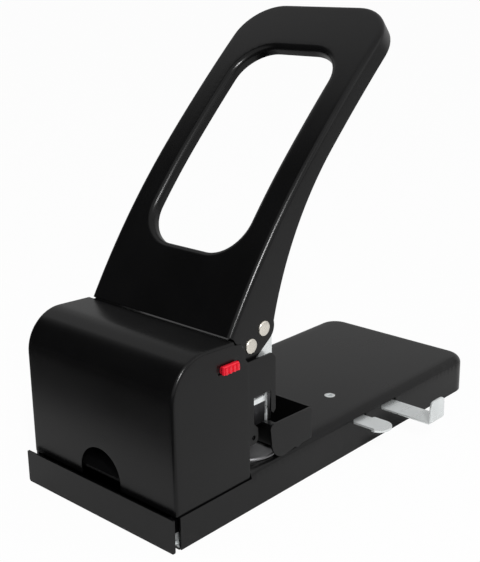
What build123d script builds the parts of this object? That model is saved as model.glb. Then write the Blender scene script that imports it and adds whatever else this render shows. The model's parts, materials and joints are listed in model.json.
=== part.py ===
from build123d import *
import os
from math import cos, pi, radians, sin

# Heavy-duty two-hole paper punch worked by a long lever.
# Millimetres. +Z is up, paper goes in along +Y and the waste drawer pulls out along +Y.
# The origin is on the ground, below the middle of the base.

# ---------------------------------------------------------------- base pan
base_half_width = 63.2
base_front = -152.6
base_rear = 146.2
base_top = 26.2
base_sheet = 1.5
base_lift = 0.6
base_corner = 14.8
base_edge = 5.7

# ---------------------------------------------------------------- clearances
seat_gap = 0.3
run_gap = 0.05
hole_gap = 0.1

# ---------------------------------------------------------------- sole, closing plate, posts, screws
sole_thick = 1.5
floor_plate_thick = 1.2
post_radius = 3.5
post_x = 50.0
post_front_y = -132.0
post_rear_y = 24.0
post_thread = 8.0
screw_radius = 2.0
screw_head_radius = 3.8
screw_head_high = 1.2
screw_spare = 1.5

# ---------------------------------------------------------------- cover
cover_half_width = 62.2
cover_sheet = 1.0
cover_rear = 148.2
cover_bottom = 20.6
cover_top = 109.0
cover_fall = 1.2
cover_shoulder = 24.0
cover_top_front = 100.0
cover_side_front = 88.5
cover_notch_bottom = 91.5
# the notch round the pivot: how far back from the side's front edge, how far above the pivot
cover_notch = ((2.8, -4.5), (3.3, 1.0), (6.3, 5.5))
cover_notch_lip = 0.8
cover_edge = 2.0
cover_tab_from = 128.0
cover_tab_to = 142.0
cover_tab_deep = 13.0
cover_tab_screw = 9.5
cover_tongue_front = 89.0
cover_tongue_half = 56.2
arch_radius = 17.0
arch_top = 41.8

# ---------------------------------------------------------------- waste drawer
lip_half_width = 64.0
lip_outer = 152.5
lip_top = 21.3
lip_thick = 1.2
tray_half_width = 57.5
tray_inner_end = 41.0
tray_floor = 3.0
tray_top = 19.0
tray_wall = 1.2
rail_gap = 0.7
rail_leg = 6.0
rail_sheet = 1.1
rail_rear = 150.4
rail_front = 36.0

# ---------------------------------------------------------------- punching line
hole_pitch = 80.0
hole_radius = 3.0
hole_margin = 12.0
punch_y = 68.5

# ---------------------------------------------------------------- dies
die_radius = 20.5
die_rise = 1.8
die_spigot_radius = 8.0
die_spigot_deep = 4.0
die_chamfer = 1.0

# ---------------------------------------------------------------- outer side plates
side_inner = 60.1
side_sheet = 1.0
side_front = 64.5
side_top = 92.0
side_back = 124.0
side_chamfer = 3.4
side_chamfer_run = 3.5
side_back_chamfer = 8.0
side_strip = 4.0
side_strip_bottom = 54.0
side_slot_top = 69.0
side_slot_back = 83.5
lug_front = 80.0
lug_back = 90.0
lug_bottom = 40.0
lug_high = 9.0
lug_corner = 3.5
lug_slope = 3.5
lug_hole_radius = 1.5
lug_hole_y = 83.9
lug_hole_z = 44.1
side_foot_deep = 6.0
side_foot_front = 98.0

# ---------------------------------------------------------------- bearing plates
bearing_thick = 3.0
spacer_long = 3.6
bearing_toe_front = 90.0
bearing_foot_front = 96.0
bearing_toe_high = 3.3
bearing_post_front = 84.6
bearing_back = 122.0
bearing_back_high = 58.0
bearing_shoulder_y = 108.0
bearing_shoulder_z = 74.0
bearing_shoulder_angle = 30.0
ledge_front = 60.0
ledge_bottom = 46.0
ledge_top = 61.7
tab_slot_top = 82.0
bearing_neck_front = 76.5
bearing_foot_deep = 9.0
bearing_foot_thick = 2.0
frame_screw_in = 5.0
frame_screw_front = 102.0
frame_screw_back = 116.0
tie_radius = 3.0
tie_collar_radius = 5.0
tie_collar_high = 1.5
tie_low = (112.0, 40.0)
tie_high = (104.0, 66.0)

# ---------------------------------------------------------------- handle pivot and link
pivot_y = 82.8
pivot_z = 99.5
pivot_radius = 3.5
link_arm = 13.5
link_angle = 145.3
link_radius = 3.0
rivet_radius = 4.55
rivet_high = 1.2
spacer_radius = 4.8
handle_turn = 60.0

# ---------------------------------------------------------------- handle, a pressed channel
# its outer face follows two arcs that meet, tangent, at the crease point
handle_half_width = 58.6
handle_sheet = 1.5
handle_past = 60.0
handle_below = 70.0
handle_bend = 3.0
crease_y = 31.5
crease_z = 197.6
crease_angle = 46.0
low_radius = 500.0
low_length = 110.0
high_radius = 1200.0
high_length = 118.0
# the side view runs past the upper end, which a prism square to the face then trims
high_past = 128.0
handle_corner = 29.0
lug_radius = 9.2
flange_deep = 12.7
flange_straight = -17.0
lug_edge_angle = 165.0
window_half_width = 42.3
window_low = 69.8
window_high = -84.7
window_corner = 25.0
window_wall = 12.0
window_edge = 1.0
window_wall_from = 0.5

# ---------------------------------------------------------------- punch head
yoke_thick = 2.0
yoke_side_gap = 0.6
yoke_front = 62.5
yoke_back = 74.3
yoke_head_back = 77.2
yoke_head_bottom = 100.0
yoke_head_slope = 3.0
yoke_top = 113.3
yoke_play = 0.4
link_shift = 2.4
bar_deep = 10.0
bar_bottom = 84.0
bar_top = 92.0
pin_tip = 40.0
pin_hollow_radius = 7.0
pin_hollow_deep = 0.8
pin_head_radius = 5.2
pin_head_high = 4.0
guide_back = 83.6
guide_bottom = 50.0
guide_top = 60.0
guide_edge = 0.8
bush_radius = 5.0
bush_collar_radius = 6.5
bush_collar_high = 1.0
spring_wire = 0.7
spring_radius = 4.6
spring_turns = 4
stop_thick = 1.5

# ---------------------------------------------------------------- paper clamp
clamp_half_width = 66.0
clamp_sheet = 1.2
clamp_front = 36.5
clamp_front_top = 49.0
clamp_back_top = 50.0
clamp_back = 75.0
clamp_floor = 28.5
clamp_floor_back = 62.5
clamp_lobe_radius = 11.0
clamp_lobe_in = 1.5
clamp_lobe_z = 37.7
clamp_lobe_front = 54.5
clamp_heel_y = 49.5
ear_front = 69.0
ear_back = 73.5
ear_top = 49.7
ear_inner = 57.2
hanger_sheet = 1.2
hanger_strip = 2.7
hanger_arm_back = 84.2
hanger_arm_bottom = 62.0
hanger_arm_top = 68.6
hanger_tab_front = 74.9
hanger_tab_inner = 50.4

# ---------------------------------------------------------------- red lock slider
knob_front = 95.5
knob_back = 111.5
knob_bottom = 92.0
knob_top = 97.2
knob_out = 65.6
knob_grooves = 4
knob_groove_wide = 1.2
knob_groove_deep = 0.9
knob_edge = 0.8
knob_gap_front = 2.2
knob_gap_back = 3.3
knob_gap_side = 0.4
lock_bar_inner = 59.3
lock_bar_thick = 1.5
lock_bar_top = 103.0
lock_bar_front = 91.6
lock_bar_back = 113.0
lock_bar_gap = 0.4
lock_bar_edge = 1.0
lock_pin_radius = 1.2
lock_pin_drop = 2.0
lock_pin_inner = 56.8
lock_travel = 2.0
lock_pin_near = 0.2
lock_notch_long = 6.0

# ---------------------------------------------------------------- paper guide and its release
guide_y = -50.0
arm_width = 16.0
arm_thick = 1.4
arm_bottom = 19.1
arm_out = 101.0
arm_inner_end = 25.0
arm_stop_top = 34.6
arm_stop_corner = 4.0
arm_rest_gap = 0.2
window_gap = 0.5
arm_window_bottom = 18.8
arm_window_top = 22.5
channel_half_long = 40.0
channel_sheet = 1.2
channel_gap = 0.4
channel_foot_back = -18.0
channel_lean_half = 3.0
channel_lean_drop = 1.0
release_y = -17.5
release_width = 13.0
release_end_width = 17.0
release_end_long = 12.0
release_end_corner = 5.6
release_end_lap = 5.0
release_out = 87.0
release_thick = 1.4
release_bottom = 19.6
release_inner_from = -60.5
release_inner_to = -24.0
release_inner_front = -31.0
release_travel = 4.5
release_finger_from = -55.0
release_finger_to = -48.0
release_window_top = 22.8
release_spring_radius = 1.6
release_spring_long = 13.0
release_spring_wall = 0.8
deck_screw_x = 32.3
deck_screw_y = -25.2
deck_screw_head = 3.6
deck_nut_high = 3.0
deck_nut_across = 7.0
sleeve_radius = 3.4

# ---------------------------------------------------------------- derived places
plate_top = sole_thick + floor_plate_thick
deck_under = base_top - base_sheet
skirt_inner = base_half_width - base_sheet
cover_inner = cover_half_width - cover_sheet
die_top = base_top + die_rise
punch_x = hole_pitch / 2
stop_front = punch_y + hole_margin
side_outer = side_inner + side_sheet
flange_inner = handle_half_width - handle_sheet
bearing_outer = flange_inner - spacer_long
bearing_inner = bearing_outer - bearing_thick
yoke_outer = flange_inner - yoke_side_gap
yoke_inner = yoke_outer - yoke_thick
link_y = pivot_y + link_arm * cos(radians(link_angle))
link_z = pivot_z + link_arm * sin(radians(link_angle))
lock_bar_outer = lock_bar_inner + lock_bar_thick
lock_bar_bottom = side_top + lock_bar_gap
lock_pin_y = pivot_y + lug_radius + seat_gap + lock_pin_radius - lock_pin_near
lock_pin_z = pivot_z - lock_pin_drop
hanger_outer = ear_inner + hanger_sheet
arm_half = arm_width / 2
channel_bottom = arm_bottom - arm_rest_gap - channel_sheet
channel_foot_under = deck_under - channel_sheet
frame_screw_x = bearing_inner - frame_screw_in
cover_screw_x = cover_inner - cover_tab_screw
post_places = [(x, y) for x in (-post_x, post_x) for y in (post_front_y, post_rear_y)]
frame_screws = [(frame_screw_x, frame_screw_front), (frame_screw_x, frame_screw_back)]
cover_screw = (cover_screw_x, (cover_tab_from + cover_tab_to) / 2)
tie_places = [tie_low, tie_high]


# ---------------------------------------------------------------- helpers
def block(x0, x1, y0, y1, z0, z1):
    return Pos((x0 + x1) / 2, (y0 + y1) / 2, (z0 + z1) / 2) * Box(x1 - x0, y1 - y0, z1 - z0)


def side_shape(sketch, x0, x1):
    """A shape drawn in Y and Z, given thickness from x0 to x1."""
    return extrude(Plane.YZ.offset(x0) * sketch, amount=x1 - x0)


def polygon(*points):
    return make_face(Polyline(*points, close=True))


def area(*edges):
    return make_face(Wire(list(edges)))


def flat(x0, x1, y0, y1):
    return Pos((x0 + x1) / 2, (y0 + y1) / 2) * Rectangle(x1 - x0, y1 - y0)


def disc(radius, y, z):
    return Pos(y, z) * Circle(radius)


def rod_x(radius, x0, x1, y, z):
    return Pos((x0 + x1) / 2, y, z) * Rot(0, 90, 0) * Cylinder(radius, x1 - x0)


def rod_y(radius, x, z, y0, y1):
    return Pos(x, (y0 + y1) / 2, z) * Rot(90, 0, 0) * Cylinder(radius, y1 - y0)


def rod_z(radius, x, y, z0, z1):
    return Pos(x, y, (z0 + z1) / 2) * Cylinder(radius, z1 - z0)


def mirrored(solid):
    return mirror(solid, about=Plane.YZ)


def both_sides(solid):
    return [solid, mirrored(solid)]


def coil(name, mean_radius, wire, turns, low, high):
    """A helix about Z, two tangent arcs in each quarter turn, with straight ends."""
    first = low + wire + seat_gap
    rise = high - low - 2 * (wire + seat_gap)
    steps = 4 * turns

    def place(k):
        angle = pi * k / 2
        return Vector(mean_radius * cos(angle), mean_radius * sin(angle), first + rise * k / steps)

    def heading(k):
        angle = pi * k / 2
        return Vector(-sin(angle), cos(angle), rise / (2 * pi * turns * mean_radius)).normalized()

    lead = 2 * wire
    edges = [Edge.make_line(place(0) - heading(0) * lead, place(0))]
    for k in range(steps):
        p0, p1 = place(k), place(k + 1)
        t0, t1 = heading(k), heading(k + 1)
        chord = p1 - p0
        along = chord.dot(t0 + t1)
        spread = 2 * (1 - t0.dot(t1))
        reach = ((along ** 2 + spread * chord.dot(chord)) ** 0.5 - along) / spread
        q0 = p0 + t0 * reach
        q1 = p1 - t1 * reach
        middle = (q0 + q1) * 0.5
        edges.append(Edge.make_tangent_arc(p0, t0, middle))
        edges.append(Edge.make_tangent_arc(middle, (q1 - q0).normalized(), p1))
    edges.append(Edge.make_line(place(steps), place(steps) + heading(steps) * lead))
    path = Wire(edges)
    tube = sweep(Plane(origin=path @ 0, z_dir=path % 0) * Circle(wire), path=path)
    samples = [path @ (i / (40 * turns)) for i in range(40 * turns + 1)]
    gaps = [(samples[i] - samples[j]).length - 2 * wire
            for i in range(len(samples)) for j in range(i + 25, len(samples))]
    print(name, "least gap to itself", round(min(gaps), 2), "mm")
    return tube


# ---------------------------------------------------------------- base
def pan_body(half_width, front, rear, low, high, corner, edge):
    plan = Pos(0, (front + rear) / 2) * Rectangle(2 * half_width, rear - front)
    plan = fillet(plan.vertices().group_by(Axis.Y)[0], corner)
    body = extrude(Pos(0, 0, low) * plan, amount=high - low)
    rim = body.faces().sort_by(Axis.Z)[-1].edges().sort_by(Axis.Y)[:-1]
    return fillet(rim, edge)


def deck_hole(x, y):
    return rod_z(screw_radius + hole_gap, x, y, deck_under - 1, base_top + 1)


def countersink(gap):
    cone = Cone(screw_radius + gap, deck_screw_head + gap, base_sheet)
    return Pos(0, 0, base_top - base_sheet / 2) * cone


def make_base_plate():
    pan = pan_body(base_half_width, base_front, base_rear, base_lift, base_top, base_corner, base_edge)
    pan -= pan_body(skirt_inner, base_front + base_sheet, base_rear + base_sheet, base_lift - base_sheet,
                    deck_under, base_corner - base_sheet, base_edge - base_sheet)
    # the cover's side walls stand on the skirts, so the deck's edges are cut away there
    strip = block(cover_inner - seat_gap, base_half_width + 1, cover_side_front - seat_gap, base_rear + 1,
                  cover_bottom - seat_gap, base_top + 1)
    for cut in both_sides(strip):
        pan -= cut
    for side in (-1, 1):
        pan -= rod_z(die_spigot_radius + hole_gap, side * punch_x, punch_y, deck_under - 1, base_top + 1)
        pan -= Pos(side * deck_screw_x, deck_screw_y) * countersink(hole_gap)
        pan -= deck_hole(side * deck_screw_x, deck_screw_y)
        for x, y in frame_screws + [cover_screw]:
            pan -= deck_hole(side * x, y)
    # windows in one skirt for the paper guide's arm and the release tab
    arm_reach = arm_half + window_gap
    pan -= block(-base_half_width - 1, 1 - skirt_inner, guide_y - arm_reach, guide_y + arm_reach,
                 arm_window_bottom, arm_window_top)
    tab_reach = release_width / 2 + window_gap
    pan -= block(-base_half_width - 1, 1 - skirt_inner, release_y - tab_reach, release_y + tab_reach,
                 release_bottom - seat_gap, release_window_top)
    return pan


def floor_outline():
    half = skirt_inner - seat_gap
    front = base_front + base_sheet + seat_gap
    plan = Pos(0, (front + base_rear) / 2) * Rectangle(2 * half, base_rear - front)
    return fillet(plan.vertices().group_by(Axis.Y)[0], base_corner - base_sheet - seat_gap)


def make_rubber_sole():
    sole = extrude(floor_outline(), amount=sole_thick)
    for x, y in post_places:
        sole -= rod_z(screw_head_radius + seat_gap, x, y, -1, sole_thick + 1)
    return sole


def make_bottom_plate():
    plate = extrude(Pos(0, 0, sole_thick) * floor_outline(), amount=floor_plate_thick)
    for x, y in post_places:
        plate -= rod_z(screw_radius + hole_gap, x, y, sole_thick - 1, plate_top + 1)
    return plate


def make_base_posts():
    return [rod_z(post_radius, x, y, plate_top, deck_under)
            - rod_z(screw_radius, x, y, plate_top - 1, plate_top + post_thread) for x, y in post_places]


def make_base_screws():
    return [rod_z(screw_head_radius, x, y, sole_thick - screw_head_high, sole_thick)
            + rod_z(screw_radius - run_gap, x, y, sole_thick, plate_top + post_thread - screw_spare)
            for x, y in post_places]


# ---------------------------------------------------------------- drawer
def make_chip_tray():
    lip = block(-lip_half_width, lip_half_width, lip_outer - lip_thick, lip_outer, base_lift, lip_top)
    body = block(-tray_half_width, tray_half_width, tray_inner_end, lip_outer - lip_thick,
                 tray_floor, tray_top)
    hollow = block(tray_wall - tray_half_width, tray_half_width - tray_wall, tray_inner_end + tray_wall,
                   lip_outer - lip_thick - tray_wall, tray_floor + tray_wall, tray_top + 1)
    return lip + body - hollow


def make_tray_rails():
    leg_x = tray_half_width + rail_gap
    leg = block(leg_x, leg_x + rail_sheet, rail_front, rail_rear, plate_top, plate_top + rail_leg)
    foot = block(leg_x, skirt_inner - seat_gap, rail_front, base_rear, plate_top, plate_top + rail_sheet)
    return both_sides(leg + foot)


# ---------------------------------------------------------------- cover
def hood(half_width, inset, reach):
    """The cover's outer body, or with an inset the space inside it."""
    rear = cover_rear - inset
    top = cover_top - inset
    radius = cover_shoulder - inset
    front = cover_side_front - reach
    low = cover_bottom - reach
    turn = radius * sin(radians(45))
    front_top = (cover_top_front, top - cover_fall)
    shape = area(
        Edge.make_line((rear, low), (rear, top - radius)),
        Edge.make_three_point_arc((rear, top - radius), (rear - radius + turn, top - radius + turn),
                                  (rear - radius, top)),
        Edge.make_line((rear - radius, top), front_top),
        Edge.make_line(front_top, (front, top - cover_fall)),
        Edge.make_line((front, top - cover_fall), (front, low)),
        Edge.make_line((front, low), (rear, low)))
    body = side_shape(shape, -half_width, half_width)
    creases = []
    for edge in body.edges():
        spot = edge @ 0.5
        on_side = abs(abs(spot.X) - half_width) < 0.01
        if on_side and spot.Z > low + 0.01 and spot.Y > cover_top_front:
            creases.append(edge)
    return fillet(creases, cover_edge - inset)


def make_cover():
    cover = hood(cover_half_width, 0, 0) - hood(cover_inner, cover_sheet, 20)
    # the side walls are cut back round the handle's pivot
    clear = 20
    notch = [(cover_side_front + back, pivot_z + up) for back, up in cover_notch]
    cut = polygon((cover_side_front, cover_notch_bottom), *notch,
                  (cover_top_front, cover_top - cover_fall - cover_notch_lip),
                  (cover_top_front, cover_top + clear),
                  (cover_side_front - clear, cover_top + clear), (cover_side_front - clear, 0),
                  (cover_side_front, 0))
    cover -= side_shape(cut, -cover_half_width - 1, cover_half_width + 1)
    # between the lever's flanges the top runs on under the lever's heel
    tongue_top = cover_top - cover_fall
    cover += block(-cover_tongue_half, cover_tongue_half, cover_tongue_front, cover_top_front + 0.5,
                   tongue_top - cover_sheet, tongue_top)
    # finger arch above the drawer
    arch_z = arch_top - arch_radius
    inside = cover_rear - 2 * cover_sheet
    cover -= rod_y(arch_radius, 0, arch_z, inside, cover_rear + 1)
    cover -= block(-arch_radius, arch_radius, inside, cover_rear + 1, 0, arch_z)
    # slot for the red slider
    cover -= block(-cover_half_width - 1, 1 - cover_inner, knob_front - knob_gap_front,
                   knob_back + knob_gap_back, knob_bottom - knob_gap_side, knob_top + knob_gap_side)
    # inward tabs that sit on the deck
    tab = block(cover_inner - cover_tab_deep, cover_inner, cover_tab_from, cover_tab_to,
                base_top, base_top + cover_sheet)
    tab -= rod_z(screw_radius, *cover_screw, base_top - 1, base_top + cover_sheet + 1)
    for piece in both_sides(tab):
        cover += piece
    return cover


def screw_from_below(x, y, top):
    head = rod_z(screw_head_radius, x, y, deck_under - screw_head_high, deck_under)
    return head + rod_z(screw_radius - run_gap, x, y, deck_under, top)


def make_cover_screws():
    return both_sides(screw_from_below(*cover_screw, base_top + cover_sheet + screw_spare))


def make_frame_screws():
    screws = []
    for x, y in frame_screws:
        screws += both_sides(screw_from_below(x, y, base_top + bearing_foot_thick + screw_spare))
    return screws


# ---------------------------------------------------------------- frame
def make_side_plate():
    strip_back = side_front + side_strip
    strip_end = side_strip_bottom + side_strip / 2
    shape = polygon(
        (side_front, strip_end), (side_front, side_top - side_chamfer),
        (side_front + side_chamfer_run, side_top), (side_back - side_back_chamfer, side_top),
        (side_back, side_top - side_back_chamfer), (side_back, base_top),
        (lug_back, base_top), (lug_back, lug_bottom), (lug_front, lug_bottom),
        (lug_front, lug_bottom + lug_high), (side_slot_back, lug_bottom + lug_high + lug_slope),
        (side_slot_back, side_slot_top), (strip_back, side_slot_top), (strip_back, strip_end))
    nose = [v for v in shape.vertices() if abs(v.X - lug_front) < 0.01 and abs(v.Y - lug_bottom) < 0.01]
    shape = fillet(nose, lug_corner)
    shape += disc(side_strip / 2, side_front + side_strip / 2, strip_end)
    shape -= disc(lug_hole_radius, lug_hole_y, lug_hole_z)
    for y, z in tie_places:
        shape -= disc(tie_radius + run_gap, y, z)
    plate = side_shape(shape, side_inner, side_outer)
    foot = block(side_inner - side_foot_deep, side_inner, side_foot_front, side_back,
                 base_top, base_top + side_sheet)
    return plate + foot


def make_bearing_plate():
    toe_top = base_top + bearing_toe_high
    turn = radians(bearing_shoulder_angle)
    shape = polygon(
        (bearing_toe_front, base_top), (bearing_toe_front, toe_top), (bearing_post_front, toe_top),
        (bearing_post_front, ledge_bottom), (ledge_front, ledge_bottom), (ledge_front, ledge_top),
        (bearing_post_front, ledge_top), (bearing_post_front, tab_slot_top),
        (bearing_neck_front, tab_slot_top), (bearing_neck_front, pivot_z - lug_radius / 2),
        (pivot_y, pivot_z), (pivot_y + lug_radius * cos(turn), pivot_z + lug_radius * sin(turn)),
        (bearing_shoulder_y, bearing_shoulder_z), (bearing_back, bearing_back_high),
        (bearing_back, base_top))
    shape += disc(lug_radius, pivot_y, pivot_z)
    shape -= disc(pivot_radius + run_gap, pivot_y, pivot_z)
    for y, z in tie_places:
        shape -= disc(tie_radius + run_gap, y, z)
    plate = side_shape(shape, bearing_inner, bearing_outer)
    plate += block(bearing_inner - bearing_foot_deep, bearing_inner, bearing_foot_front,
                   bearing_back, base_top, base_top + bearing_foot_thick)
    for x, y in frame_screws:
        plate -= rod_z(screw_radius, x, y, base_top - 1, base_top + bearing_foot_thick + 1)
    return plate


def make_tie_rods():
    rods = []
    for y, z in tie_places:
        rod = rod_x(tie_radius, -side_outer, side_outer, y, z)
        collar = rod_x(tie_collar_radius, bearing_outer, bearing_outer + tie_collar_high, y, z)
        collar += rod_x(tie_collar_radius, side_inner - tie_collar_high, side_inner, y, z)
        for piece in both_sides(collar):
            rod += piece
        rods.append(rod)
    return rods


def make_guide_bridge():
    bridge = block(-bearing_inner, bearing_inner, ledge_front, guide_back, guide_bottom, guide_top)
    bridge = fillet(bridge.edges().filter_by(Axis.X), guide_edge)
    for side in (-1, 1):
        bridge -= rod_z(bush_radius + run_gap, side * punch_x, punch_y, guide_bottom - 1, guide_top + 1)
    return bridge


def make_guide_bushes():
    bush = rod_z(bush_radius, punch_x, punch_y, guide_bottom, guide_top)
    bush += rod_z(bush_collar_radius, punch_x, punch_y, guide_bottom - bush_collar_high, guide_bottom)
    bush -= rod_z(hole_radius + run_gap, punch_x, punch_y, guide_bottom - 5, guide_top + 5)
    return both_sides(bush)


def make_back_stop():
    return block(seat_gap - bearing_inner, bearing_inner - seat_gap, stop_front, stop_front + stop_thick,
                 die_top + seat_gap, guide_bottom)


def make_die():
    die = rod_z(die_radius, punch_x, punch_y, base_top, die_top)
    die = chamfer(die.edges().filter_by(GeomType.CIRCLE).sort_by(Axis.Z)[-1], die_chamfer)
    die += rod_z(die_spigot_radius, punch_x, punch_y, base_top - die_spigot_deep, base_top)
    return die - rod_z(hole_radius + run_gap, punch_x, punch_y, 0, die_top + 1)


# ---------------------------------------------------------------- handle
def crease_point(along, depth):
    """A point of the handle's side view: this far along the outer face from the meeting of its
    two arcs, positive towards the pivot, and this deep under the face."""
    radius = low_radius if along > 0 else high_radius
    start = radians(crease_angle)
    turn = start + along / radius
    y = crease_y - sin(start) * radius + sin(turn) * (radius - depth)
    z = crease_z - cos(start) * radius + cos(turn) * (radius - depth)
    return Vector(y, z)


def crease_arc(start, end, depth):
    return Edge.make_three_point_arc(crease_point(start, depth), crease_point((start + end) / 2, depth),
                                     crease_point(end, depth))


def lies_at(spot, depth):
    """True for a point this deep under the outer face."""
    start = radians(crease_angle)
    for radius in (low_radius, high_radius):
        away = Vector(spot.Y - crease_y + sin(start) * radius, spot.Z - crease_z + cos(start) * radius)
        if abs(away.length - radius + depth) < 0.02:
            return True
    return False


def face_frame(along, radius):
    """A plane that touches the outer face across the handle, with its Y axis up the handle."""
    origin = crease_point(along, 0)
    slope = radians(crease_angle) + along / radius
    return Plane(origin=(0, origin.X, origin.Y), x_dir=(-1, 0, 0), z_dir=(0, sin(slope), cos(slope)))


def handle_body():
    heel = crease_point(low_length, 0)
    edge_start = crease_point(flange_straight, flange_deep)
    slope = radians(crease_angle) + flange_straight / high_radius
    lug_turn = radians(lug_edge_angle)
    edge_end = Vector(link_y + lug_radius * cos(lug_turn), link_z + lug_radius * sin(lug_turn))
    side = area(
        crease_arc(-high_past, 0, 0),
        crease_arc(0, low_length, 0),
        Edge.make_line(heel, (pivot_y + lug_radius, pivot_z)),
        Edge.make_line((pivot_y + lug_radius, pivot_z), (pivot_y, pivot_z)),
        Edge.make_line((pivot_y, pivot_z), (link_y, link_z)),
        Edge.make_line((link_y, link_z), edge_end),
        Edge.make_tangent_arc(edge_start, (cos(slope), -sin(slope)), edge_end),
        crease_arc(-high_past, flange_straight, flange_deep),
        Edge.make_line(crease_point(-high_past, flange_deep), crease_point(-high_past, 0)))
    between = Pos((pivot_y + link_y) / 2, (pivot_z + link_z) / 2) * Rot(0, 0, link_angle - 180)
    side += disc(lug_radius, pivot_y, pivot_z) + disc(lug_radius, link_y, link_z)
    side += between * Rectangle(link_arm, 2 * lug_radius)
    return side_shape(side, -handle_half_width, handle_half_width)


def handle_plan(inset):
    """A prism square to the handle's upper end, which rounds the end's two corners."""
    long = high_length + low_length + handle_past
    plan = Pos(0, -long / 2 - inset) * Rectangle(2 * (handle_half_width - inset), long)
    plan = fillet(plan.vertices().group_by(Axis.Y)[-1], handle_corner - inset)
    return extrude(face_frame(-high_length, high_radius) * plan, amount=80, both=True)


def window_prism(grow):
    middle = (window_low + window_high) / 2
    long = window_low - window_high
    shape = RectangleRounded(2 * (window_half_width + grow), long + 2 * grow, window_corner + grow)
    return extrude(face_frame(middle, high_radius) * shape, amount=40, both=True)


def crease_edges(body, chosen):
    return [edge for edge in body.edges() if lies_at(edge @ 0.5, 0) and chosen(edge @ 0.5)]


def make_handle():
    end = crease_point(-high_length, 0)
    outer = handle_body() & handle_plan(0)
    outer = fillet(crease_edges(outer, lambda p: abs(p.X) > window_half_width or p.Y < end.X + 1),
                   handle_bend)
    # everything one sheet under the face is hollow, open below
    beyond = low_length + handle_past
    hollow = area(
        crease_arc(-high_past, 0, handle_sheet),
        crease_arc(0, beyond, handle_sheet),
        Edge.make_line(crease_point(beyond, handle_sheet), crease_point(beyond, handle_below)),
        Edge.make_line(crease_point(beyond, handle_below), crease_point(-high_past, handle_below)),
        Edge.make_line(crease_point(-high_past, handle_below), crease_point(-high_past, handle_sheet)))
    inner = side_shape(hollow, -flange_inner, flange_inner) & handle_plan(handle_sheet)
    inner_edges = []
    for edge in inner.edges():
        spot = edge @ 0.5
        if edge.length > 5 and lies_at(spot, handle_sheet) and spot.Z > pivot_z:
            if abs(spot.X) > window_half_width or spot.Y < end.X + 4:
                inner_edges.append(edge)
    inner = fillet(inner_edges, handle_bend - handle_sheet)
    handle = outer - inner
    # the window's edge is turned inward as a wall
    wall = window_prism(handle_sheet) - window_prism(0)
    join = window_wall_from
    band = area(
        crease_arc(-high_length, 0, join), crease_arc(0, low_length, join),
        Edge.make_line(crease_point(low_length, join), crease_point(low_length, window_wall)),
        crease_arc(0, low_length, window_wall), crease_arc(-high_length, 0, window_wall),
        Edge.make_line(crease_point(-high_length, window_wall), crease_point(-high_length, join)))
    handle += wall & side_shape(band, -flange_inner, flange_inner)
    handle -= window_prism(0)
    top_rim = crease_edges(handle, lambda p: abs(p.X) < window_half_width + 0.1 and p.Z < end.Y - 3
                           and p.Z > crease_point(low_length, 0).Y + 3)
    handle = fillet(top_rim, window_edge)
    # notches in the lugs, where the lock pin enters with the lever up or down
    for turn in (0, handle_turn):
        wide = lock_pin_radius + seat_gap
        notch = disc(wide, lock_pin_y - lock_travel, lock_pin_z)
        notch += Pos(lock_pin_y - lock_travel + lock_notch_long / 2, lock_pin_z) * Rectangle(
            lock_notch_long, 2 * wide)
        notch = Pos(pivot_y, pivot_z) * Rot(0, 0, -turn) * Pos(-pivot_y, -pivot_z) * notch
        handle -= side_shape(notch, -handle_half_width - 1, -flange_inner + 1)
    for radius, y, z in ((pivot_radius, pivot_y, pivot_z), (link_radius, link_y, link_z)):
        handle -= rod_x(radius, -handle_half_width - 1, handle_half_width + 1, y, z)
    return handle


def riveted_shaft(radius, y, z):
    shaft = rod_x(radius, -handle_half_width, handle_half_width, y, z)
    head = rod_x(rivet_radius, handle_half_width, handle_half_width + rivet_high, y, z)
    head = fillet(head.edges().filter_by(GeomType.CIRCLE).sort_by(Axis.X)[-1], rivet_high / 2)
    for piece in both_sides(head):
        shaft += piece
    return shaft


def make_pivot_shaft():
    return riveted_shaft(pivot_radius, pivot_y, pivot_z)


def make_link_shaft():
    return riveted_shaft(link_radius, link_y, link_z)


def make_pivot_spacers():
    spacer = rod_x(spacer_radius, bearing_outer + seat_gap, flange_inner, pivot_y, pivot_z)
    bore = rod_x(pivot_radius + run_gap, bearing_outer, flange_inner + 1, pivot_y, pivot_z)
    return both_sides(spacer - bore)


# ---------------------------------------------------------------- punch head
def make_yoke():
    shape = polygon((yoke_front, bar_bottom), (yoke_back, bar_bottom),
                    (yoke_back, yoke_head_bottom - yoke_head_slope), (yoke_head_back, yoke_head_bottom),
                    (yoke_head_back, yoke_top), (yoke_front, yoke_top))
    tall = 2 * (link_radius + yoke_play)
    slot = SlotOverall(link_shift + tall - yoke_play, tall)
    shape -= Pos(link_y - link_shift / 2, link_z) * slot
    return side_shape(shape, yoke_inner, yoke_outer)


def make_punch_bar():
    half = bar_deep / 2
    return block(-yoke_inner, yoke_inner, punch_y - half, punch_y + half, bar_bottom, bar_top)


def make_punch_pin():
    pin = rod_z(hole_radius, punch_x, punch_y, pin_tip, bar_bottom)
    pin -= rod_y(pin_hollow_radius, punch_x, pin_tip - pin_hollow_radius + pin_hollow_deep,
                 punch_y - 5, punch_y + 5)
    return pin + rod_z(pin_head_radius, punch_x, punch_y, bar_bottom - pin_head_high, bar_bottom)


def make_return_spring():
    spring = coil("return spring", spring_radius, spring_wire, spring_turns,
                  guide_top, bar_bottom - pin_head_high)
    return Pos(punch_x, punch_y) * spring


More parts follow.
